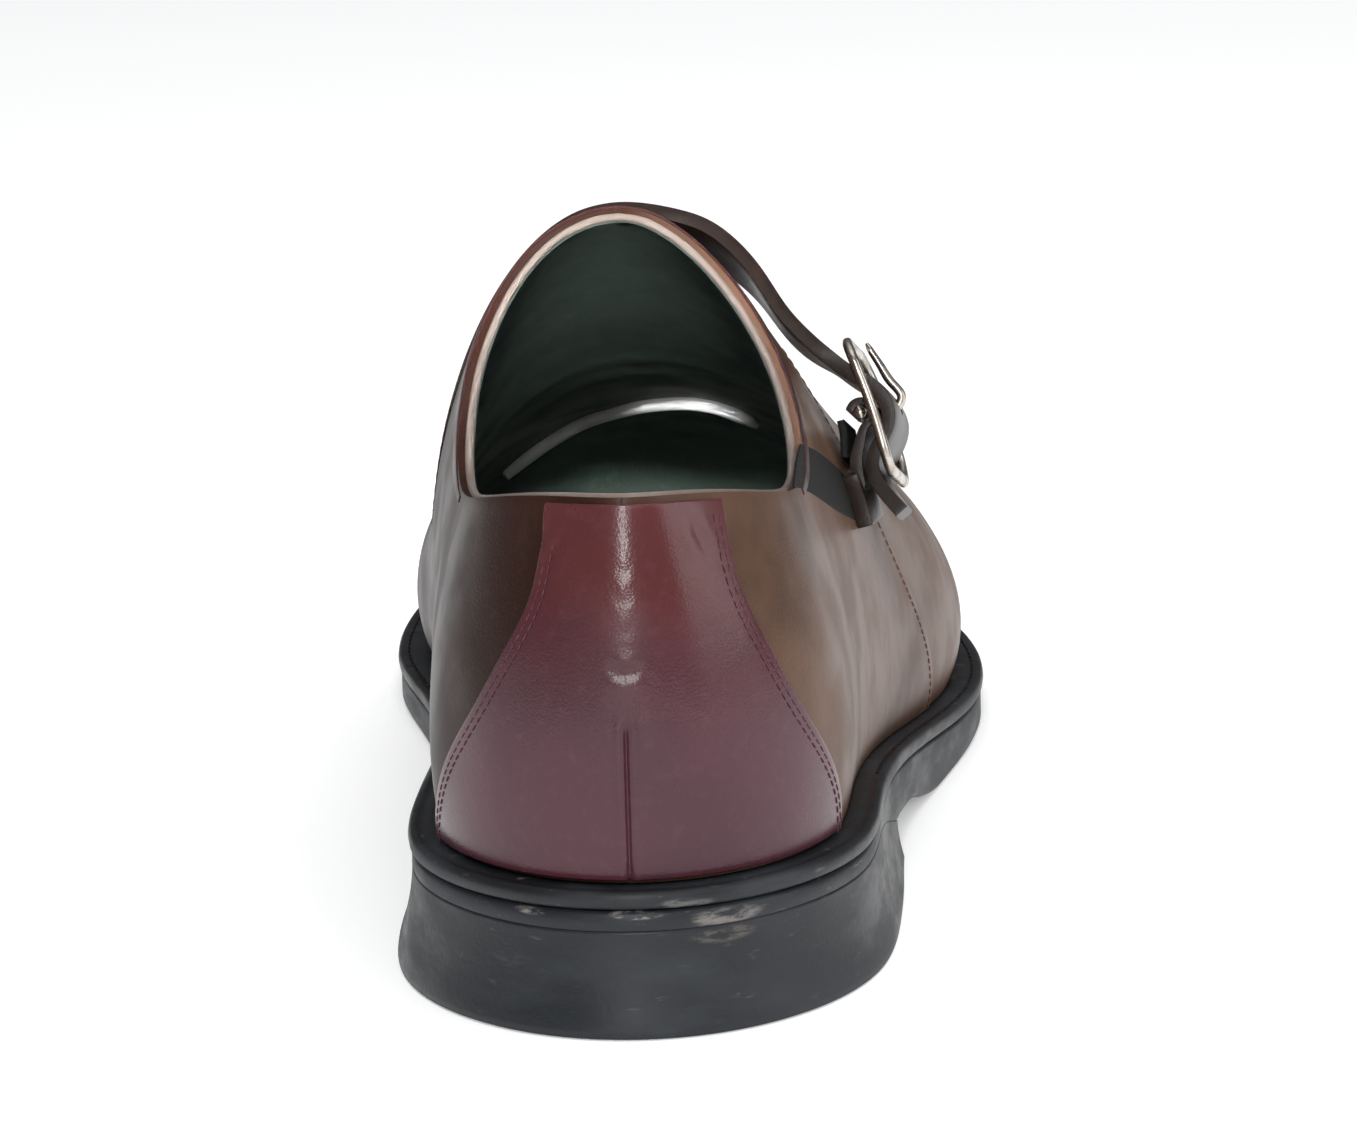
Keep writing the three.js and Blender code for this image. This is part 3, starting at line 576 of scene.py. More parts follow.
# %% [markdown]
# ## Lining, vamp and quarters
# The lining is one shell inside everything. The vamp covers the toes and runs up the instep as the
# tongue, and each quarter goes from the back seam to a curved edge that is lapped over the vamp.
# Every panel is a patch between a rear and a front edge, so its edges are curves and not cuts.

# %% Lining and vamp
LINING = (-2.2, -1.1)
LEATHER = (-1.05, 0.0)
PROUD = 0.38  # a quarter stands out over the vamp

half = [THROAT * np.sin(np.pi / 2 * np.linspace(0, 1, 72, endpoint=False)),
        np.linspace(THROAT, 180, 84)]
half = np.concatenate(half)
ring = np.concatenate([half, 360 - half[-2:0:-1]])
turns = np.repeat(ring[:, None], 41, 1)
shares = topline_share(ring)[:, None] * np.linspace(0, 1, 41)
panel("lining", turns, shares, *LINING, lining_calf, "lining_leather", ["upper"], 0.2, closed=True,
      creased=0.25)

# The quarters' front edges on the outer and the inner side: share, turn.
outer_front = curve([
    (0, 93.5), (0.04, 92.5), (0.165, 89), (0.28, 84.5), (0.45, 80.6), (0.7, 78), (1, 76.6),
])
inner_front = curve([(0, 93.5), (0.1, 91.5), (0.25, 87.6), (0.45, 85.2), (0.7, 84.8), (1, 84.8)])


def lap(share):
    """How many degrees the vamp runs on under a quarter."""
    return 3.2 * (1 - share) ** 0.7


rows = np.linspace(0, 1, 40)
across = np.linspace(0, 1, 150)
start = np.maximum(outer_front(rows) - lap(rows), THROAT + 0.02)
finish = np.minimum(360 - inner_front(rows) + lap(rows), 360 - THROAT - 0.02)
turns = start[None, :] + (finish - start)[None, :] * across[:, None]
shares = np.repeat(rows[None, :], len(across), 0)
panel("vamp", turns, shares, LEATHER[0], LEATHER[1], brown_calf, "upper_leather")


# %% Quarters
def quarter(name, front, side):
    """The panel from the back seam to its front edge. side is 1 on the outer side, else -1."""
    rows = np.linspace(0, 1, 36)[None, :]
    # Behind the throat the columns crowd towards it, because the topline turns sharply there.
    behind = THROAT * np.sin(np.pi / 2 * np.linspace(0, 1, 90, endpoint=False))[:, None]
    tops = topline_share((side * behind[:, 0]) % 360)[:, None]
    ahead = np.linspace(0, 1, 22)[:, None]
    ahead_turns = THROAT + ahead * (front(rows) - THROAT)
    turns = np.vstack([np.repeat(behind, rows.size, 1), ahead_turns])
    shares = np.vstack([tops * rows, np.repeat(rows, len(ahead), 0)])
    lapped = np.clip((turns - front(shares) + lap(shares) + 1.0) / 0.8, 0, 1)
    lapped = np.where(turns > THROAT - 1, lapped, 0)
    inner = LEATHER[0] + (0.04 - LEATHER[0]) * lapped
    panel(name, (side * turns) % 360, shares, inner, PROUD, brown_calf, "upper_leather")


quarter("lateral_quarter", outer_front, 1)
quarter("medial_quarter", inner_front, -1)

# %% [markdown]
# ## The heel counter
# A patch of oxblood leather is laid over both quarters at the back. It is narrow under the collar
# and swings out to the welt. Its edges are folded and sewn twice, and a short upright seam shows
# in its lower half, a groove here, fine enough to need closer columns in the grid.

# %% Counter
# Share of the rib, then the turn of its edge on the outer and on the inner side.
COUNTER = [
    (0.0, 37.5, 38.0), (0.06, 36.0, 35.0), (0.13, 32.5, 31.0), (0.21, 27.5, 25.5),
    (0.3, 23.5, 20.5), (0.39, 21.0, 16.8), (0.5, 22.3, 17.5),
]
counter_outer, counter_inner = (curve([(row[0], row[k]) for row in COUNTER]) for k in (1, 2))
COUNTER_OUT = PROUD + 0.04, PROUD + 1.15
SEAM_TOP = 0.235

# Its columns crowd towards the seam in the middle.
even = np.linspace(-1, 1, 117)[:, None]
spread_out = np.sign(even) * np.abs(even) ** 1.5
rows = np.linspace(0, 1, 58)[None, :]
shares = topline_share(0.0) * rows + 0 * spread_out
for _ in range(5):
    turns = np.where(spread_out < 0, counter_inner(shares), counter_outer(shares)) * spread_out
    shares = 0.008 + (topline_share(turns % 360) - 0.02) * rows
from_seam = np.abs(last(turns, shares)[..., 0])
seam_fade = np.clip((SEAM_TOP - shares) / 0.02, 0, 1)
# The seam is a groove 0.5 mm deep between two low ridges.
groove = -0.5 * np.exp(-((from_seam / 0.35) ** 2))
groove += 0.18 * np.exp(-(((from_seam - 1.1) / 0.6) ** 2))
panel("counter", turns, shares, COUNTER_OUT[0], COUNTER_OUT[1] + groove * seam_fade,
      oxblood_calf, "counter_leather", ["heel_counter"], 0.45)

# %% [markdown]
# ## Collar edge and piping
# The lining is turned over the top edge of the leather and has rubbed pale. It is a rounded band
# that is carried along the topline, over the throat and back. Inside, a pale piping closes the
# lining of the toe part where it crosses the roof of the shoe.


# %% Sweep
def sweep(path, side, up, section, closed):
    """Points and faces of a section carried along a path, with the path's directions to its side
    and up. section is rows of (side, up)."""
    side, up = (np.broadcast_to(way, path.shape)[:, None] for way in (side, up))
    points = path[:, None] + side * section[..., :1] + up * section[..., 1:]
    faces = list(grid(*points.shape[:2], closed, tube=True))
    if not closed:
        index = np.arange(points[..., 0].size).reshape(points.shape[:2])
        faces += [index[0][::-1], index[-1]]
    return points.reshape(-1, 3), faces


def oval(width, height, corners, power):
    """A rounded rectangle as a superellipse."""
    angle = np.linspace(0, 2 * np.pi, corners, endpoint=False)
    c, s = np.cos(angle), np.sin(angle)
    return np.stack([np.sign(c) * np.abs(c) ** power * width / 2,
                     np.sign(s) * np.abs(s) ** power * height / 2], -1)


def unit(vectors):
    return vectors / np.linalg.norm(vectors, axis=-1, keepdims=True)


def tangents(path, closed):
    if closed:
        return unit(np.roll(path, -1, 0) - np.roll(path, 1, 0))
    return unit(np.gradient(path, axis=0))


# %% Collar
def evenly(path, values, count):
    """Points at even steps along a closed path, and the other values carried along with them."""
    closed = [np.vstack([rows, rows[:1]]) for rows in (path, *values)]
    along = np.concatenate([[0], np.cumsum(np.linalg.norm(np.diff(closed[0], axis=0), axis=1))])
    places = np.linspace(0, along[-1], count, endpoint=False)
    return [np.stack([np.interp(places, along, c) for c in rows.T], -1) for rows in closed]


def smoothed(vectors, reach=12):
    """Directions averaged with their neighbours round a closed path."""
    return unit(sum(np.roll(vectors, k, 0) for k in range(-reach, reach + 1)))


def tapered(section, stops, sizes, count):
    """The same section at every step of an open path, at its own size at each stop."""
    return section * np.interp(np.linspace(0, 1, count), stops, sizes)[:, None, None]


COLLAR_STEPS, PIPING_STEPS = 300, 90
steps = THROAT * np.sin(np.pi / 2 * np.linspace(0, 1, 150))
collar_turns = np.concatenate([steps, 360 - steps[-2:0:-1]])
collar_shares = topline_share(collar_turns)
collar, collar_out = evenly(
    last(collar_turns, collar_shares), [outward(collar_turns, collar_shares)], COLLAR_STEPS)
collar_out = smoothed(collar_out)
collar_up = unit(np.cross(collar_out, tangents(collar, True)))
collar_up *= np.sign(collar_up[:, 2:].mean())
# The turned edge lies over the lining, 1.35 mm in from the leather's outer face.
rim = oval(1.25, 1.5, 16, 0.8) + (-1.35, 0.1)
piece("collar_rim", *sweep(collar, collar_out, collar_up, rim, True), rim_calf, "lining_leather")
# The binding outside starts beside the counter, at this y, and leaves the back free.
BINDING_FROM = 18
bound = collar[:, 1] > BINDING_FROM
binding = tapered(oval(0.6, 3.2, 14, 0.5), [0, 0.2, 0.8, 1], [0.3, 1, 1, 0.3], bound.sum())
binding = binding + (PROUD + 0.03, -1.45)
binding = sweep(collar[bound], collar_out[bound], collar_up[bound], binding, False)
piece("collar_binding", *binding, binding_calf, "upper_leather")

# Turn and share, up the inner side and down the outer side.
PIPING = [(216.5, 0.445), (212.8, 0.55), (211.8, 0.66), (214.5, 0.78), (222.5, 0.885), (231, 0.965)]
PIPING_OUTER = [(125.2, 0.975), (121.6, 0.91), (121.4, 0.85), (124.5, 0.795), (129.5, 0.75)]
INTO_LINING = -2.9
stops = np.array([last(*row) + outward(*row) * INTO_LINING for row in PIPING + PIPING_OUTER])
piping = through(stops, PIPING_STEPS)
piping_side = unit(np.cross(tangents(piping, False), (0, 0.35, 1)))
piping_up = unit(np.cross(piping_side, tangents(piping, False)))
# It thins out at both ends, where it runs into the lining's seams.
cord = tapered(oval(2.9, 3.0, 12, 1), [0, 0.1, 0.88, 1], [0.7, 1, 1, 0.5], PIPING_STEPS)
piping_points = sweep(piping, piping_side, piping_up, cord, False)
piece("lining_piping", *piping_points, piping_cloth, "lining_leather")

# %% [markdown]
# ## The sole
# Welt, outsole and heel are stacked plates that follow the feather line at their own margins. A
# plate is built from levels, edges all round at a margin and a height, closed by a lower and an
# upper face. More levels give the rounded lip of the welt and the hollow flare of the heel.

# %% Heights and margins
GAP, WELT_THICK, UPPER_WALL = 0.3, 2.7, 2.2
SEWN_IN = 2.0  # how far in from its edge the welt is sewn
HEEL_BREAST, HEEL_BOW = 61, 3
margin = curve([(-40, 5.2), (60, 5.2), (120, 5.0), (170, 6.0), (262, 7.5)])
outsole_thick = curve([
    (-40, 3.0), (15, 3.0), (45, 5.4), (62, 7.8), (74, 7.7), (84, 7.5), (96, 8.8), (108, 9.0),
    (125, 7.9), (145, 6.9), (170, 6.6), (200, 6.7), (228, 6.3), (262, 5.6),
])
heel_flare = curve([(-40, 2.2), (0, 2.3), (27, 2.7), (45, 2.1), (62, 0.6)])


def shifted(of_y, amount):
    """The same function of y with an amount added."""
    return lambda y: of_y(y) + amount


def flat(y):
    return 0 * y


welt_top = shifted(feather_z, -GAP)
welt_bottom = shifted(welt_top, -WELT_THICK)
outsole_top = shifted(welt_bottom, -GAP)
outsole_bottom = lambda y: np.maximum(0, outsole_top(y) - outsole_thick(y))
heel_top = lambda y: outsole_top(y) - outsole_thick(y) - GAP
print("the heel stands", round(float(heel_top(HEEL_BACK)), 1), "mm high at the back")


def edge_at(turn, out, height):
    """An edge all round: out and height are functions of y."""
    feather = outline(turn)[1]
    x, y = outline(turn, out(feather))
    return np.stack([x, y, height(y)], -1)


ACROSS_PLATE = 12  # quads from one side of a plate to the other


def plate(levels, bottom, top, end=180.0, count=150, bow=0.0):
    """Points and faces of a plate from levels of (out, height). It ends at a turn on both sides,
    where its front is hollowed by bow, in mm."""
    half = np.linspace(0, end, count + 1)
    share = np.linspace(0, 1, ACROSS_PLATE + 1)[None, :, None]
    parts, faces = [], []

    def skin(points):
        start = sum(len(p) for p in parts)
        parts.append(points.reshape(-1, 3))
        faces.extend(grid(*points.shape[:2]) + start)

    def rungs(turns, level):
        ends = edge_at(-turns, *level), edge_at(turns, *level)
        points = ends[0][:, None] * (1 - share) + ends[1][:, None] * share
        hollow = bow * (turns / end) ** 4
        points[..., 1] -= 4 * hollow[:, None] * (share * (1 - share))[..., 0]
        return points

    def face(level, height):
        points = rungs(half, level)
        points[:, 1:-1, 2] = height(points[:, 1:-1, 1])
        skin(points)
        return points[-1]

    fronts = [face(levels[0], bottom)]
    fronts += [rungs(half[-1:], level)[0] for level in levels[1:-1]]
    fronts.append(face(levels[-1], top))
    around = np.concatenate([-half[::-1], half[1:]])
    skin(np.stack([edge_at(around, *level) for level in levels], 1))
    if end < 180:
        skin(np.stack(fronts))
    return weld(np.vstack(parts), np.array(faces))[:2]


# %% Outsole and heel
def tread_round(y):
    """The outsole's lower edge is rounded where it is free, and sharp where the heel meets it."""
    return np.clip((y - HEEL_BREAST + 2) / 8, 0.08, 1)


side = shifted(margin, -0.5)
heel_side = lambda y: margin(y) + heel_flare(y)
outsole_levels = [
    (lambda y: side(y) - 1.2 * tread_round(y), outsole_bottom),
    (lambda y: side(y) - 0.35 * tread_round(y),
     lambda y: outsole_bottom(y) + 0.35 * tread_round(y)),
    (side, lambda y: outsole_bottom(y) + 1.1 * tread_round(y)),
    (side, shifted(outsole_top, -0.55)), (shifted(side, -0.45), outsole_top),
]
piece("outsole_edge", *plate(outsole_levels, outsole_bottom, outsole_top), edge_rubber,
      "sole_rubber", ["outsole"])

# The heel reaches up to the outsole with a hairline between them.
HAIRLINE = 0.06
heel_joint = shifted(heel_top, GAP - HAIRLINE)


def heel_level(share):
    """The heel's edge at a share of its height, hollowed as it flares to the floor."""
    out = lambda y: side(y) + (heel_flare(y) + 0.5) * (1 - share) ** 1.7
    return out, lambda y: heel_joint(y) * share


heel_levels = [
    (shifted(heel_side, -1.1), flat), (shifted(heel_side, -0.3), shifted(flat, 0.35)),
    *(heel_level(share) for share in (0.09, 0.2, 0.35, 0.5, 0.65, 0.8, 0.9, 0.97, 1.0)),
]
heel_points = plate(heel_levels, flat, heel_joint, end=turn_of(HEEL_BREAST), count=110,
                    bow=HEEL_BOW)
piece("heel_block", *heel_points, heel_rubber, "sole_rubber", ["heel"])

# %% Welt
around = np.linspace(0, 360, 420, endpoint=False)
middle_z = lambda y: (welt_bottom(y) + welt_top(y)) / 2
welt_section = [
    (shifted(flat, -UPPER_WALL), welt_bottom), (shifted(margin, -0.7), welt_bottom),
    (shifted(margin, -0.15), shifted(welt_bottom, 0.4)), (margin, middle_z),
    (shifted(margin, -0.15), shifted(welt_top, -0.45)),
    (shifted(margin, -0.6), shifted(welt_top, -0.08)), (shifted(margin, -1.4), welt_top),
    (shifted(margin, -SEWN_IN), shifted(welt_top, -0.28)), (shifted(margin, -2.6), welt_top),
    (shifted(flat, 0.9), welt_top), (shifted(flat, -UPPER_WALL), welt_top),
]
rings = np.stack([edge_at(around, *level) for level in welt_section], 1)
welt_faces = grid(*rings.shape[:2], closed=True, tube=True)
piece("stitched_welt", rings.reshape(-1, 3), welt_faces, welt_rubber, "welt_rubber", ["welt"])

# %% Insole with its sock lining
inset, sock_top = shifted(flat, -UPPER_WALL - 0.4), shifted(feather_z, 1.8)
sock_levels = [
    (inset, welt_bottom), (inset, shifted(sock_top, -0.5)), (shifted(inset, -0.6), sock_top),
]
piece("sock_lining", *plate(sock_levels, welt_bottom, sock_top, count=90), sock_calf,
      "lining_leather", ["insole"])

# %% [markdown]
# ## Strap and buckle
# The strap is sewn flat to the inner quarter. It crosses the instep, passes through the buckle on
# the outer side and ends just past it. The buckle hangs on a tab that is sewn to the outer
# quarter, with a leaf of elastic beneath it, so that it gives as the foot goes in. Places on the
# buckle are given by how far down, across and out they lie.

# %% The buckle's own axes
BUCKLE = np.array((31.9, 73, 83))
down, forward = np.array((0.306, -0.316, -0.898)), unit(np.array((0.12, 0.945, -0.3)))
down = unit(down - forward * (down @ forward))
out = np.cross(down, forward)
FRAME_LENGTH, FRAME_WIDTH, WIRE = 24.4, 25, 2.6
BAR_DOWN, BAR_OUT, BAR_RADIUS = 11.4, -1.8, 1.1
STRAP_SIDES, TAB_SIDES, ELASTIC_SIDES = (1.9, 20.5), (3, 19), (4, 18)
STRAP_THICK, TAB_LAYER, ELASTIC_THICK = 2.6, 1.2, 1.2


def on_buckle(down_by, across_by, out_by):
    moves = zip((down, forward, out), (down_by, across_by, out_by))
    return BUCKLE + sum(way * np.asarray(by, float)[..., None] for way, by in moves)


def buckle_row(sides, down_by, out_by, thick):
    """A row of a band in the buckle: its rear edge, its front edge and its thickness."""
    return (*(on_buckle(down_by, side, out_by) for side in sides), thick)


def shares_along(points):
    """Each point's share of the way along them all."""
    along = np.concatenate([[0], np.cumsum(np.linalg.norm(np.diff(points, axis=0), axis=1))])
    return along / along[-1]


def space_curve(points, count):
    """Evenly many points on a smooth curve through a few."""
    points = np.asarray(points, float)
    places, steps = shares_along(points), np.linspace(0, 1, count)
    return np.stack([curve(np.stack([places, c], -1))(steps) for c in points.T], -1)


def band_sheet(rows, count, across):
    """The middle sheet of a band from rows of (rear edge, front edge, thickness)."""
    rear, front = (space_curve([row[k] for row in rows], count) for k in (0, 1))
    share = np.linspace(0, 1, across)[None, :, None]
    sheet = rear[:, None] * (1 - share) + front[:, None] * share
    places = shares_along(np.array([row[0] for row in rows], float))
    thick = np.interp(np.linspace(0, 1, count), places, [row[2] for row in rows])
    return sheet, np.repeat(thick[:, None], across, 1)


def band(name, sheet, half, middle, material, slot, replaces, edge=0.0):
    """A piece from its middle sheet and half its thickness everywhere. middle is a point inside
    the shoe that the band is wrapped round."""
    half = half.reshape(-1)
    made = wall(sheet.reshape(-1, 3), grid(*sheet.shape[:2]), -half, half, middle)
    return piece(name, *made, material, slot, replaces, edge)


def on_last(turn, share, distance):
    return last(turn, share) + outward(turn, share) * distance


# %% Strap
STRAP_REAR, STRAP_FRONT = 77, 84.8
# On the inner side the strap lies on the quarter, pared thin: share, inner face, thickness.
STRAP_RISE = [
    (0.34, 0.40, 0.08), (0.45, 0.42, 0.3), (0.55, 0.45, 0.55), (0.65, 0.48, 0.85), (0.74, 0.5, 1.2),
    (0.83, 0.5, 1.8), (0.92, 0.5, 2.4), (0.99, 0.5, 2.6),
]
# Past the ridge it hangs free: x, y, z of the rear edge and of the front edge.
STRAP_FREE = [
    (4.4, 75.6, 103.7, 4.9, 92.2, 94.8), (9.2, 75.3, 102.1, 10.1, 92.0, 93.4),
    (14.1, 75.2, 98.4, 15.2, 91.9, 90.2), (17.7, 75.1, 94.0, 19.0, 92.1, 86.2),
    (21.4, 75.0, 88.1, 22.9, 92.3, 80.8), (25.3, 74.8, 83.6, 27.0, 92.3, 77.0),
]
STRAP_IN_BUCKLE = [
    (1.5, -3.5), (4.4, -1.5), (7.2, 0.9), (10.4, 2.4), (13.0, 2.5), (15.4, 1.2),
    (17.5, -0.9), (19.6, -2.6), (21.8, -3.0), (24.6, -2.4), (28.0, -1.1),
]
strap_rows = []
for share, inner, thick in STRAP_RISE:
    ends = [on_last(360 - turn, share, inner + thick / 2) for turn in (STRAP_REAR, STRAP_FRONT)]
    strap_rows.append((*ends, thick))
strap_rows += [(row[:3], row[3:], STRAP_THICK) for row in STRAP_FREE]
strap_rows += [buckle_row(STRAP_SIDES, d, o, STRAP_THICK) for d, o in STRAP_IN_BUCKLE]

STRAP_STEPS, STRAP_ACROSS = 170, 21
UNDER_STRAP = (0, 84, 60)
strap_sheet, strap_thick = band_sheet(strap_rows, STRAP_STEPS, STRAP_ACROSS)
TIP = 14  # rows of the rounded tip, which draw in towards the middle of the strap
for i in range(TIP):
    row = strap_sheet[-TIP + i]
    middle, drawn_in = row.mean(0), math.sqrt(1 - 0.82 * ((i + 1) / TIP) ** 2)
    strap_sheet[-TIP + i] = middle + (row - middle) * drawn_in
# It is a little thinner towards its edges.
cushion = 1 - 0.16 * np.abs(np.linspace(-1, 1, STRAP_ACROSS))[None, :] ** 4
strap_half = strap_thick / 2 * cushion
strap = band("strap", strap_sheet, strap_half, UNDER_STRAP,
             strap_calf, "strap_leather", ["strap"], 0.5)

# %% Tab and elastic
# On the foot: turn and share of the rear edge and of the front edge.
TAB_ON_FOOT = [(72.0, 0.32, 78.5, 0.335), (72.4, 0.355, 79.0, 0.36), (72.8, 0.39, 79.4, 0.385)]
# Free: down, out and thickness. Then it folds round the bar.
TAB_FREE = [(22.8, -6.25, 2.3), (18.9, -5.25, 2.0), (15.7, -3.5, 1.6)]
TAB_FOLD = [5, 45, 85, 125, 165, 205, 240]  # degrees round the bar
ELASTIC = [(11.2, -5.4), (13.6, -5.7), (15.7, -6.3), (17.2, -6.7)]
UNDER_TAB = (10, 84, 60)
TAB_LIFT, TAB_THICK = 1.7, 2.4
tab_rows = [(*(on_last(*place, TAB_LIFT) for place in (row[:2], row[2:])), TAB_THICK)
            for row in TAB_ON_FOOT]
tab_rows += [buckle_row(TAB_SIDES, *row) for row in TAB_FREE]
bend = BAR_RADIUS + GAP + TAB_LAYER / 2
for angle in np.radians(TAB_FOLD):
    d, o = BAR_DOWN + bend * math.cos(angle), BAR_OUT + bend * math.sin(angle)
    tab_rows.append(buckle_row(TAB_SIDES, d, o, TAB_LAYER))
tab_sheet, tab_thick = band_sheet(tab_rows, 80, 17)
band("buckle_leaf", tab_sheet, tab_thick / 2, UNDER_TAB,
     strap_calf, "strap_leather", ["buckle_tab"], 0.4)

elastic_rows = [buckle_row(ELASTIC_SIDES, d, o, ELASTIC_THICK) for d, o in reversed(ELASTIC)]
RIBS_ACROSS = 16
elastic_sheet, elastic_thick = band_sheet(elastic_rows, 14, RIBS_ACROSS * 6 + 1)
# Its ribs are the elastic's threads, as fine as the grid can carry.
ribbing = 1 + 0.22 * np.cos(np.linspace(0, RIBS_ACROSS * 2 * np.pi, RIBS_ACROSS * 6 + 1))[None, :]
elastic_half = elastic_thick / 2 * ribbing * 0.85
band("elastic_leaf", elastic_sheet, elastic_half, UNDER_TAB,
     black_elastic, "elastic", ["buckle_elastic"])

# A gore of the same elastic is let into the quarter behind the leaf: its upper and its lower
# edge, from the collar to under the buckle, as turn and share.
GORE_TOP = [(58, 0.446), (66, 0.425), (72, 0.405), (77.5, 0.385)]
GORE_FOOT = [(45, 0.427), (56, 0.382), (66, 0.345), (76.5, 0.325)]
rows = np.linspace(0, 1, 14)[:, None]
gore_turns, gore_shares = (
    (low * (1 - rows) + high * rows).T
    for low, high in zip(through(GORE_FOOT, 40).T, through(GORE_TOP, 40).T))
panel("elastic_gore", gore_turns, gore_shares, PROUD - 0.25, PROUD + 0.09, black_elastic, "elastic")

# %% Buckle frame, bar and prong
CORNER = 4.2  # radius of the frame's corners
rail_down, rail_across = FRAME_LENGTH - WIRE, FRAME_WIDTH - WIRE
angles = np.radians(np.arange(0, 360, 6))
quadrant = (angles // (np.pi / 2)).astype(int)
signs = np.array([(1, 1), (-1, 1), (-1, -1), (1, -1)])[quadrant]
path = np.stack([
    rail_down / 2 + signs[:, 0] * (rail_down / 2 - CORNER) + CORNER * np.cos(angles),
    rail_across / 2 + signs[:, 1] * (rail_across / 2 - CORNER) + CORNER * np.sin(angles),
], -1)
ring_path = []
for a, b in zip(path, np.roll(path, -1, 0)):
    pieces = max(1, round(np.linalg.norm(b - a) / 1.5))
    ring_path += [a + (b - a) * k / pieces for k in range(pieces)]
ring_path = np.array(ring_path)
# The frame is bowed a little, to lie round the foot.
bow = 0.6 * (1 - (ring_path[:, 0] / (rail_down / 2) - 1) ** 2)
ring_points = on_buckle(ring_path[:, 0], ring_path[:, 1], bow - 0.2)
frame_side = unit(np.cross(tangents(ring_points, True), out))
piece("frame_rails", *sweep(ring_points, frame_side, out, oval(2.3, 1.7, 16, 0.85), True),
      satin_nickel, "buckle_metal", ["buckle_frame"])

bar_path = on_buckle(np.full(12, BAR_DOWN), np.linspace(1.2, 21.2, 12), np.full(12, BAR_OUT))
piece("frame_bar", *sweep(bar_path, down, out, oval(2.1, 2.1, 16, 1), False),
      satin_nickel, "buckle_metal", ["buckle_bar"])

PRONG_STEPS = 48
PRONG = [(11.2, 1.3), (11.1, 3.5), (10.0, 4.6), (7.2, 3.9), (3.6, 3.0), (1.2, 2.4), (-0.4, 2.1)]
prong_path = space_curve([on_buckle(d, rail_across / 2, o) for d, o in PRONG], PRONG_STEPS)
prong_up = unit(np.cross(tangents(prong_path, False), forward))
prong_section = oval(1.7, 1.5, 14, 0.95)
prong_section = tapered(prong_section, [0, 0.55, 0.93, 1], [1, 1, 0.72, 0.4], PRONG_STEPS)
piece("prong", *sweep(prong_path, forward, prong_up, prong_section, False),
      satin_nickel, "buckle_metal", ["buckle_prong"])

# %% The prong's hole
HOLE_DOWN, HOLE_WIDTH = 11.1, 3.0
cutter_path = on_buckle(HOLE_DOWN, rail_across / 2, np.array([-0.3, 6.5]))
round_hole = oval(HOLE_WIDTH, HOLE_WIDTH, 20, 1)
cutter_points, cutter_faces = sweep(cutter_path, down, forward, round_hole, False)
cutter = new_object("cutter", cutter_points, [], cutter_faces)
hole = strap.modifiers.new("hole", "BOOLEAN")
hole.operation, hole.object, hole.solver = "DIFFERENCE", cutter, "EXACT"
print("strap with its hole", len(apply_modifiers(strap).polygons), "faces")
bpy.data.objects.remove(cutter)

# %% [markdown]
# ## Stitches
# Every sewn edge shows a row of short lock stitches. A row is a line laid on the leather, and a
# Geometry Nodes tree turns it into thread: the line is resampled at the stitch pitch, a small
# rounded stitch is set at each point and turned along the line, and all are made real.


# %% The stitch tree
def stitch_tree():
    tree = bpy.data.node_groups.new("stitches along lines", "GeometryNodeTree")
    interface = tree.interface
    interface.new_socket("Geometry", in_out="INPUT", socket_type="NodeSocketGeometry")
    for name in ("Pitch", "Length", "Thickness"):
        interface.new_socket(name, in_out="INPUT", socket_type="NodeSocketFloat")
    interface.new_socket("Thread", in_out="INPUT", socket_type="NodeSocketMaterial")
    interface.new_socket("Geometry", in_out="OUTPUT", socket_type="NodeSocketGeometry")
    given = add(tree, "NodeGroupInput").outputs
    line = add(tree, "GeometryNodeMeshToCurve", {"Mesh": given["Geometry"]})
    spaced = {"Curve": line.outputs[0], "Length": given["Pitch"]}
    points = add(tree, "GeometryNodeResampleCurve", spaced, mode="LENGTH")
    sides = {"X": given["Thickness"], "Y": given["Thickness"], "Z": given["Length"]}
    size = add(tree, "ShaderNodeCombineXYZ", sides)
    ball = add(tree, "GeometryNodeMeshUVSphere", {"Segments": 6, "Rings": 5, "Radius": 0.5})
    # A ball has 6 x 5 faces, few because there are hundreds of stitches.
    heading = add(tree, "GeometryNodeInputTangent")
    along = {"Vector": heading.outputs[0]}
    turned = add(tree, "FunctionNodeAlignRotationToVector", along, axis="Z")
    laid = add(tree, "GeometryNodeInstanceOnPoints", {
        "Points": points.outputs[0], "Instance": ball.outputs["Mesh"],
        "Rotation": turned.outputs[0], "Scale": size.outputs[0]})
    real = add(tree, "GeometryNodeRealizeInstances", {"Geometry": laid.outputs[0]})
    smooth = add(tree, "GeometryNodeSetShadeSmooth", {0: real.outputs[0]})
    thread_on = {"Geometry": smooth.outputs[0], "Material": given["Thread"]}
    sewn = add(tree, "GeometryNodeSetMaterial", thread_on)
    add(tree, "NodeGroupOutput", {"Geometry": sewn.outputs[0]})
    return tree


stitches = stitch_tree()
BALL_FACES = 6 * 5
print("stitch tree with", len(stitches.nodes), "nodes")


def sew(name, lines, material, pitch, length, thickness):
    """Thread along each line of points in mm, as one mesh. The sizes are in mm too."""
    starts = np.cumsum([0] + [len(line) for line in lines])
    edges = [(s + i, s + i + 1) for s, line in zip(starts, lines) for i in range(len(line) - 1)]
    made = new_object(name, np.vstack(lines), edges, [])
    rows = made.modifiers.new("thread", "NODES")
    rows.node_group = stitches
    values = {"Pitch": pitch * MM, "Length": length * MM, "Thickness": thickness * MM,
              "Thread": material}
    for item in stitches.interface.items_tree:
        if item.in_out == "INPUT" and item.name in values:
            rows[item.identifier] = values[item.name]
    real = apply_modifiers(made)
    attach(made, "root")
    print(name, len(real.polygons) // BALL_FACES, "stitches")


LINE_POINTS = 120  # of one line of stitches on the last


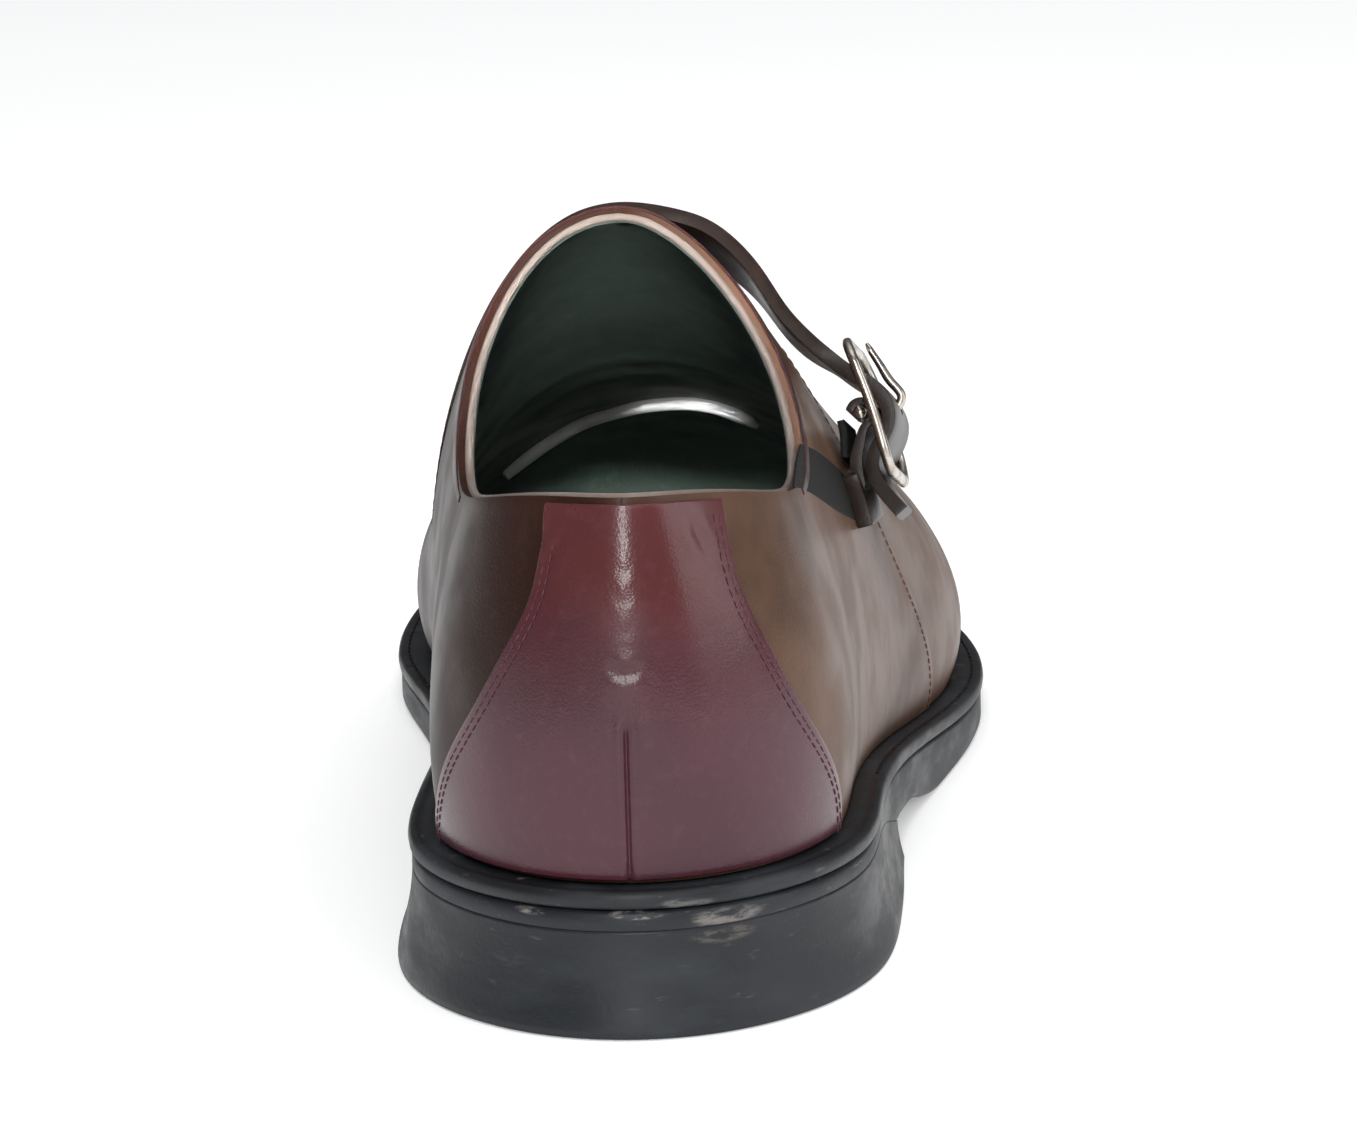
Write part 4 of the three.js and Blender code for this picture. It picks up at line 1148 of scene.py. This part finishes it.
def laid_line(turns, shares, height, aside):
    """A line on the last, lifted by height and moved aside in the surface, in mm."""
    turns, shares = through(np.stack([turns, shares], -1), LINE_POINTS).T
    base, normal = last(turns, shares), outward(turns, shares)
    sideways = unit(np.cross(normal, tangents(base, False)))
    return base + normal * (height + creases(base))[:, None] + sideways * aside


# %% Sew the panels
shares = np.linspace(0.02, 0.475, 12)
counter_lines = [
    laid_line(sign * edge(shares), shares, COUNTER_OUT[1] + 0.02, sign * aside)
    for sign, edge in ((1, counter_outer), (-1, counter_inner)) for aside in (1.4, 2.6)
]
sew("counter_stitches", counter_lines, oxblood_thread, 1.8, 1.5, 0.2)
shares = np.linspace(0.02, 0.6, 12)
front_lines = [
    laid_line(side * front(shares), shares, PROUD + 0.02, side * 1.8)
    for side, front in ((1, outer_front), (-1, inner_front))
]
sew("quarter_stitches", front_lines, brown_thread, 2.0, 1.6, 0.24)

# %% Sew the strap's end and the welt
normals = sheet_normals(strap_sheet.reshape(-1, 3), grid(STRAP_STEPS, STRAP_ACROSS))
normals = normals.reshape(strap_sheet.shape)
normals *= np.sign(((strap_sheet - UNDER_STRAP) * normals).sum())
top_face = strap_sheet + normals * (strap_thick * cushion / 2 - 0.02)[..., None]
# A U round its sewn end: down one edge, across and up the other.
end_line = np.vstack([top_face[40:3:-1, 2], top_face[3, 3:-3], top_face[4:41, -3]])
sew("strap_stitches", [end_line], dark_thread, 2.2, 1.8, 0.2)
WELT_SEWN = 62  # the turn where its sewing starts; it goes round the toe to the other side
welt_turns = np.linspace(WELT_SEWN, 360 - WELT_SEWN, 600)
welt_line = edge_at(welt_turns, shifted(margin, -SEWN_IN), shifted(welt_top, -0.12))
sew("welt_stitches", [welt_line], dark_thread, 3.0, 2.3, 0.5)

# %% [markdown]
# ## Floor, light and camera
# A pale floor and soft light from large panels, as in a studio. The room itself gives a bright soft
# light but is dim in the gloss, so the polish shows the panels. One tall narrow panel behind the
# camera draws the upright gloss on the counter, and a wide one on the outer side lights the
# quarter and the vamp. The camera is behind the heel, a little to the outer side and above.

# %% Floor
glow = {"Emission Color": srgb("#ffffff"), "Emission Strength": 0.25}
floor_material, tree, shader, place = new_material("pale studio floor", Roughness=0.8, **glow)
cloud = add(tree, "ShaderNodeTexNoise", {"Vector": place, "Scale": per_mm(600), "Detail": 2.0})
inputs = {0: cloud.outputs["Fac"], 6: srgb("#ececeb"), 7: srgb("#f1f1f0")}
pale = add(tree, "ShaderNodeMix", inputs, data_type="RGBA").outputs[2]
tree.links.new(pale, shader.inputs["Base Color"])
FLOOR = 8000  # half its width in mm
floor = new_object("floor", [(-FLOOR, -FLOOR, 0), (FLOOR, -FLOOR, 0), (FLOOR, FLOOR, 0),
                             (-FLOOR, FLOOR, 0)], [], [(0, 1, 2, 3)])
floor.data.materials.append(floor_material)
print("floor", round(2 * FLOOR * MM), "m wide")

# %% Lights
world = bpy.data.worlds.new("pale room")
world.use_nodes = True
tree = world.node_tree
gloss_ray = add(tree, "ShaderNodeLightPath").outputs["Is Glossy Ray"]
strength = add(tree, "ShaderNodeMapRange", {"Value": gloss_ray, "To Min": 0.68, "To Max": 0.12})
tree.nodes["Background"].inputs["Color"].default_value = srgb("#fbfcff")
tree.links.new(strength.outputs["Result"], tree.nodes["Background"].inputs["Strength"])
bpy.context.scene.world = world
bpy.context.scene.view_settings.view_transform = "Standard"
TARGET = Vector((0, 0.1, 0.05))


def panel_light(name, place, width, height, power, target=TARGET, beam=180, in_gloss=True):
    """A soft panel of a size in metres. beam is how far its light spreads, in degrees."""
    light = bpy.data.lights.new(name, "AREA")
    light.shape, light.size, light.size_y, light.energy = "RECTANGLE", width, height, power
    light.spread = math.radians(beam)
    made = bpy.data.objects.new(name, light)
    made.location = place
    made.rotation_euler = (Vector(target) - Vector(place)).to_track_quat("-Z", "Y").to_euler()
    made.visible_camera, made.visible_glossy = False, in_gloss
    bpy.context.scene.collection.objects.link(made)


panel_light("overhead panel", (0.1, 0.1, 1.7), 1.6, 1.6, 9)
panel_light("tall strip behind the camera", (-0.02, -1.35, 0.72), 0.14, 1.0, 10)
panel_light("outer side panel", (1.25, -0.25, 0.55), 1.0, 0.9, 6)
panel_light("rear panel", (0.5, -1.5, 1.1), 0.9, 0.7, 2.5)
panel_light("low panel into the collar", (-0.06, -1.0, 0.3), 0.4, 0.2, 2.0, in_gloss=False)
panel_light("beam into the shoe", (0.01, -0.3, 0.22), 0.03, 0.03, 0.04,
            target=(-0.01, 0.14, 0.058), beam=13, in_gloss=False)

# %% Camera
EYE = Vector((0.0396, -0.8239, 0.2352))
AIM = Vector((0.0045, 0.06, 0.0500))
ROLL = math.radians(-1.52)
look = (AIM - EYE).normalized()
right = look.cross(Vector((0, 0, 1))).normalized()
up = right.cross(look)
cos, sin = math.cos(ROLL), math.sin(ROLL)
right, up = right * cos + up * sin, up * cos - right * sin
camera = bpy.data.objects.new("camera", bpy.data.cameras.new("camera"))
camera.data.lens, camera.data.sensor_width = 150, 36
camera.matrix_world = Matrix.Translation(EYE) @ Matrix((right, up, -look)).transposed().to_4x4()
bpy.context.scene.collection.objects.link(camera)
bpy.context.scene.camera = camera
print("camera", round((AIM - EYE).length, 2), "m from the shoe")
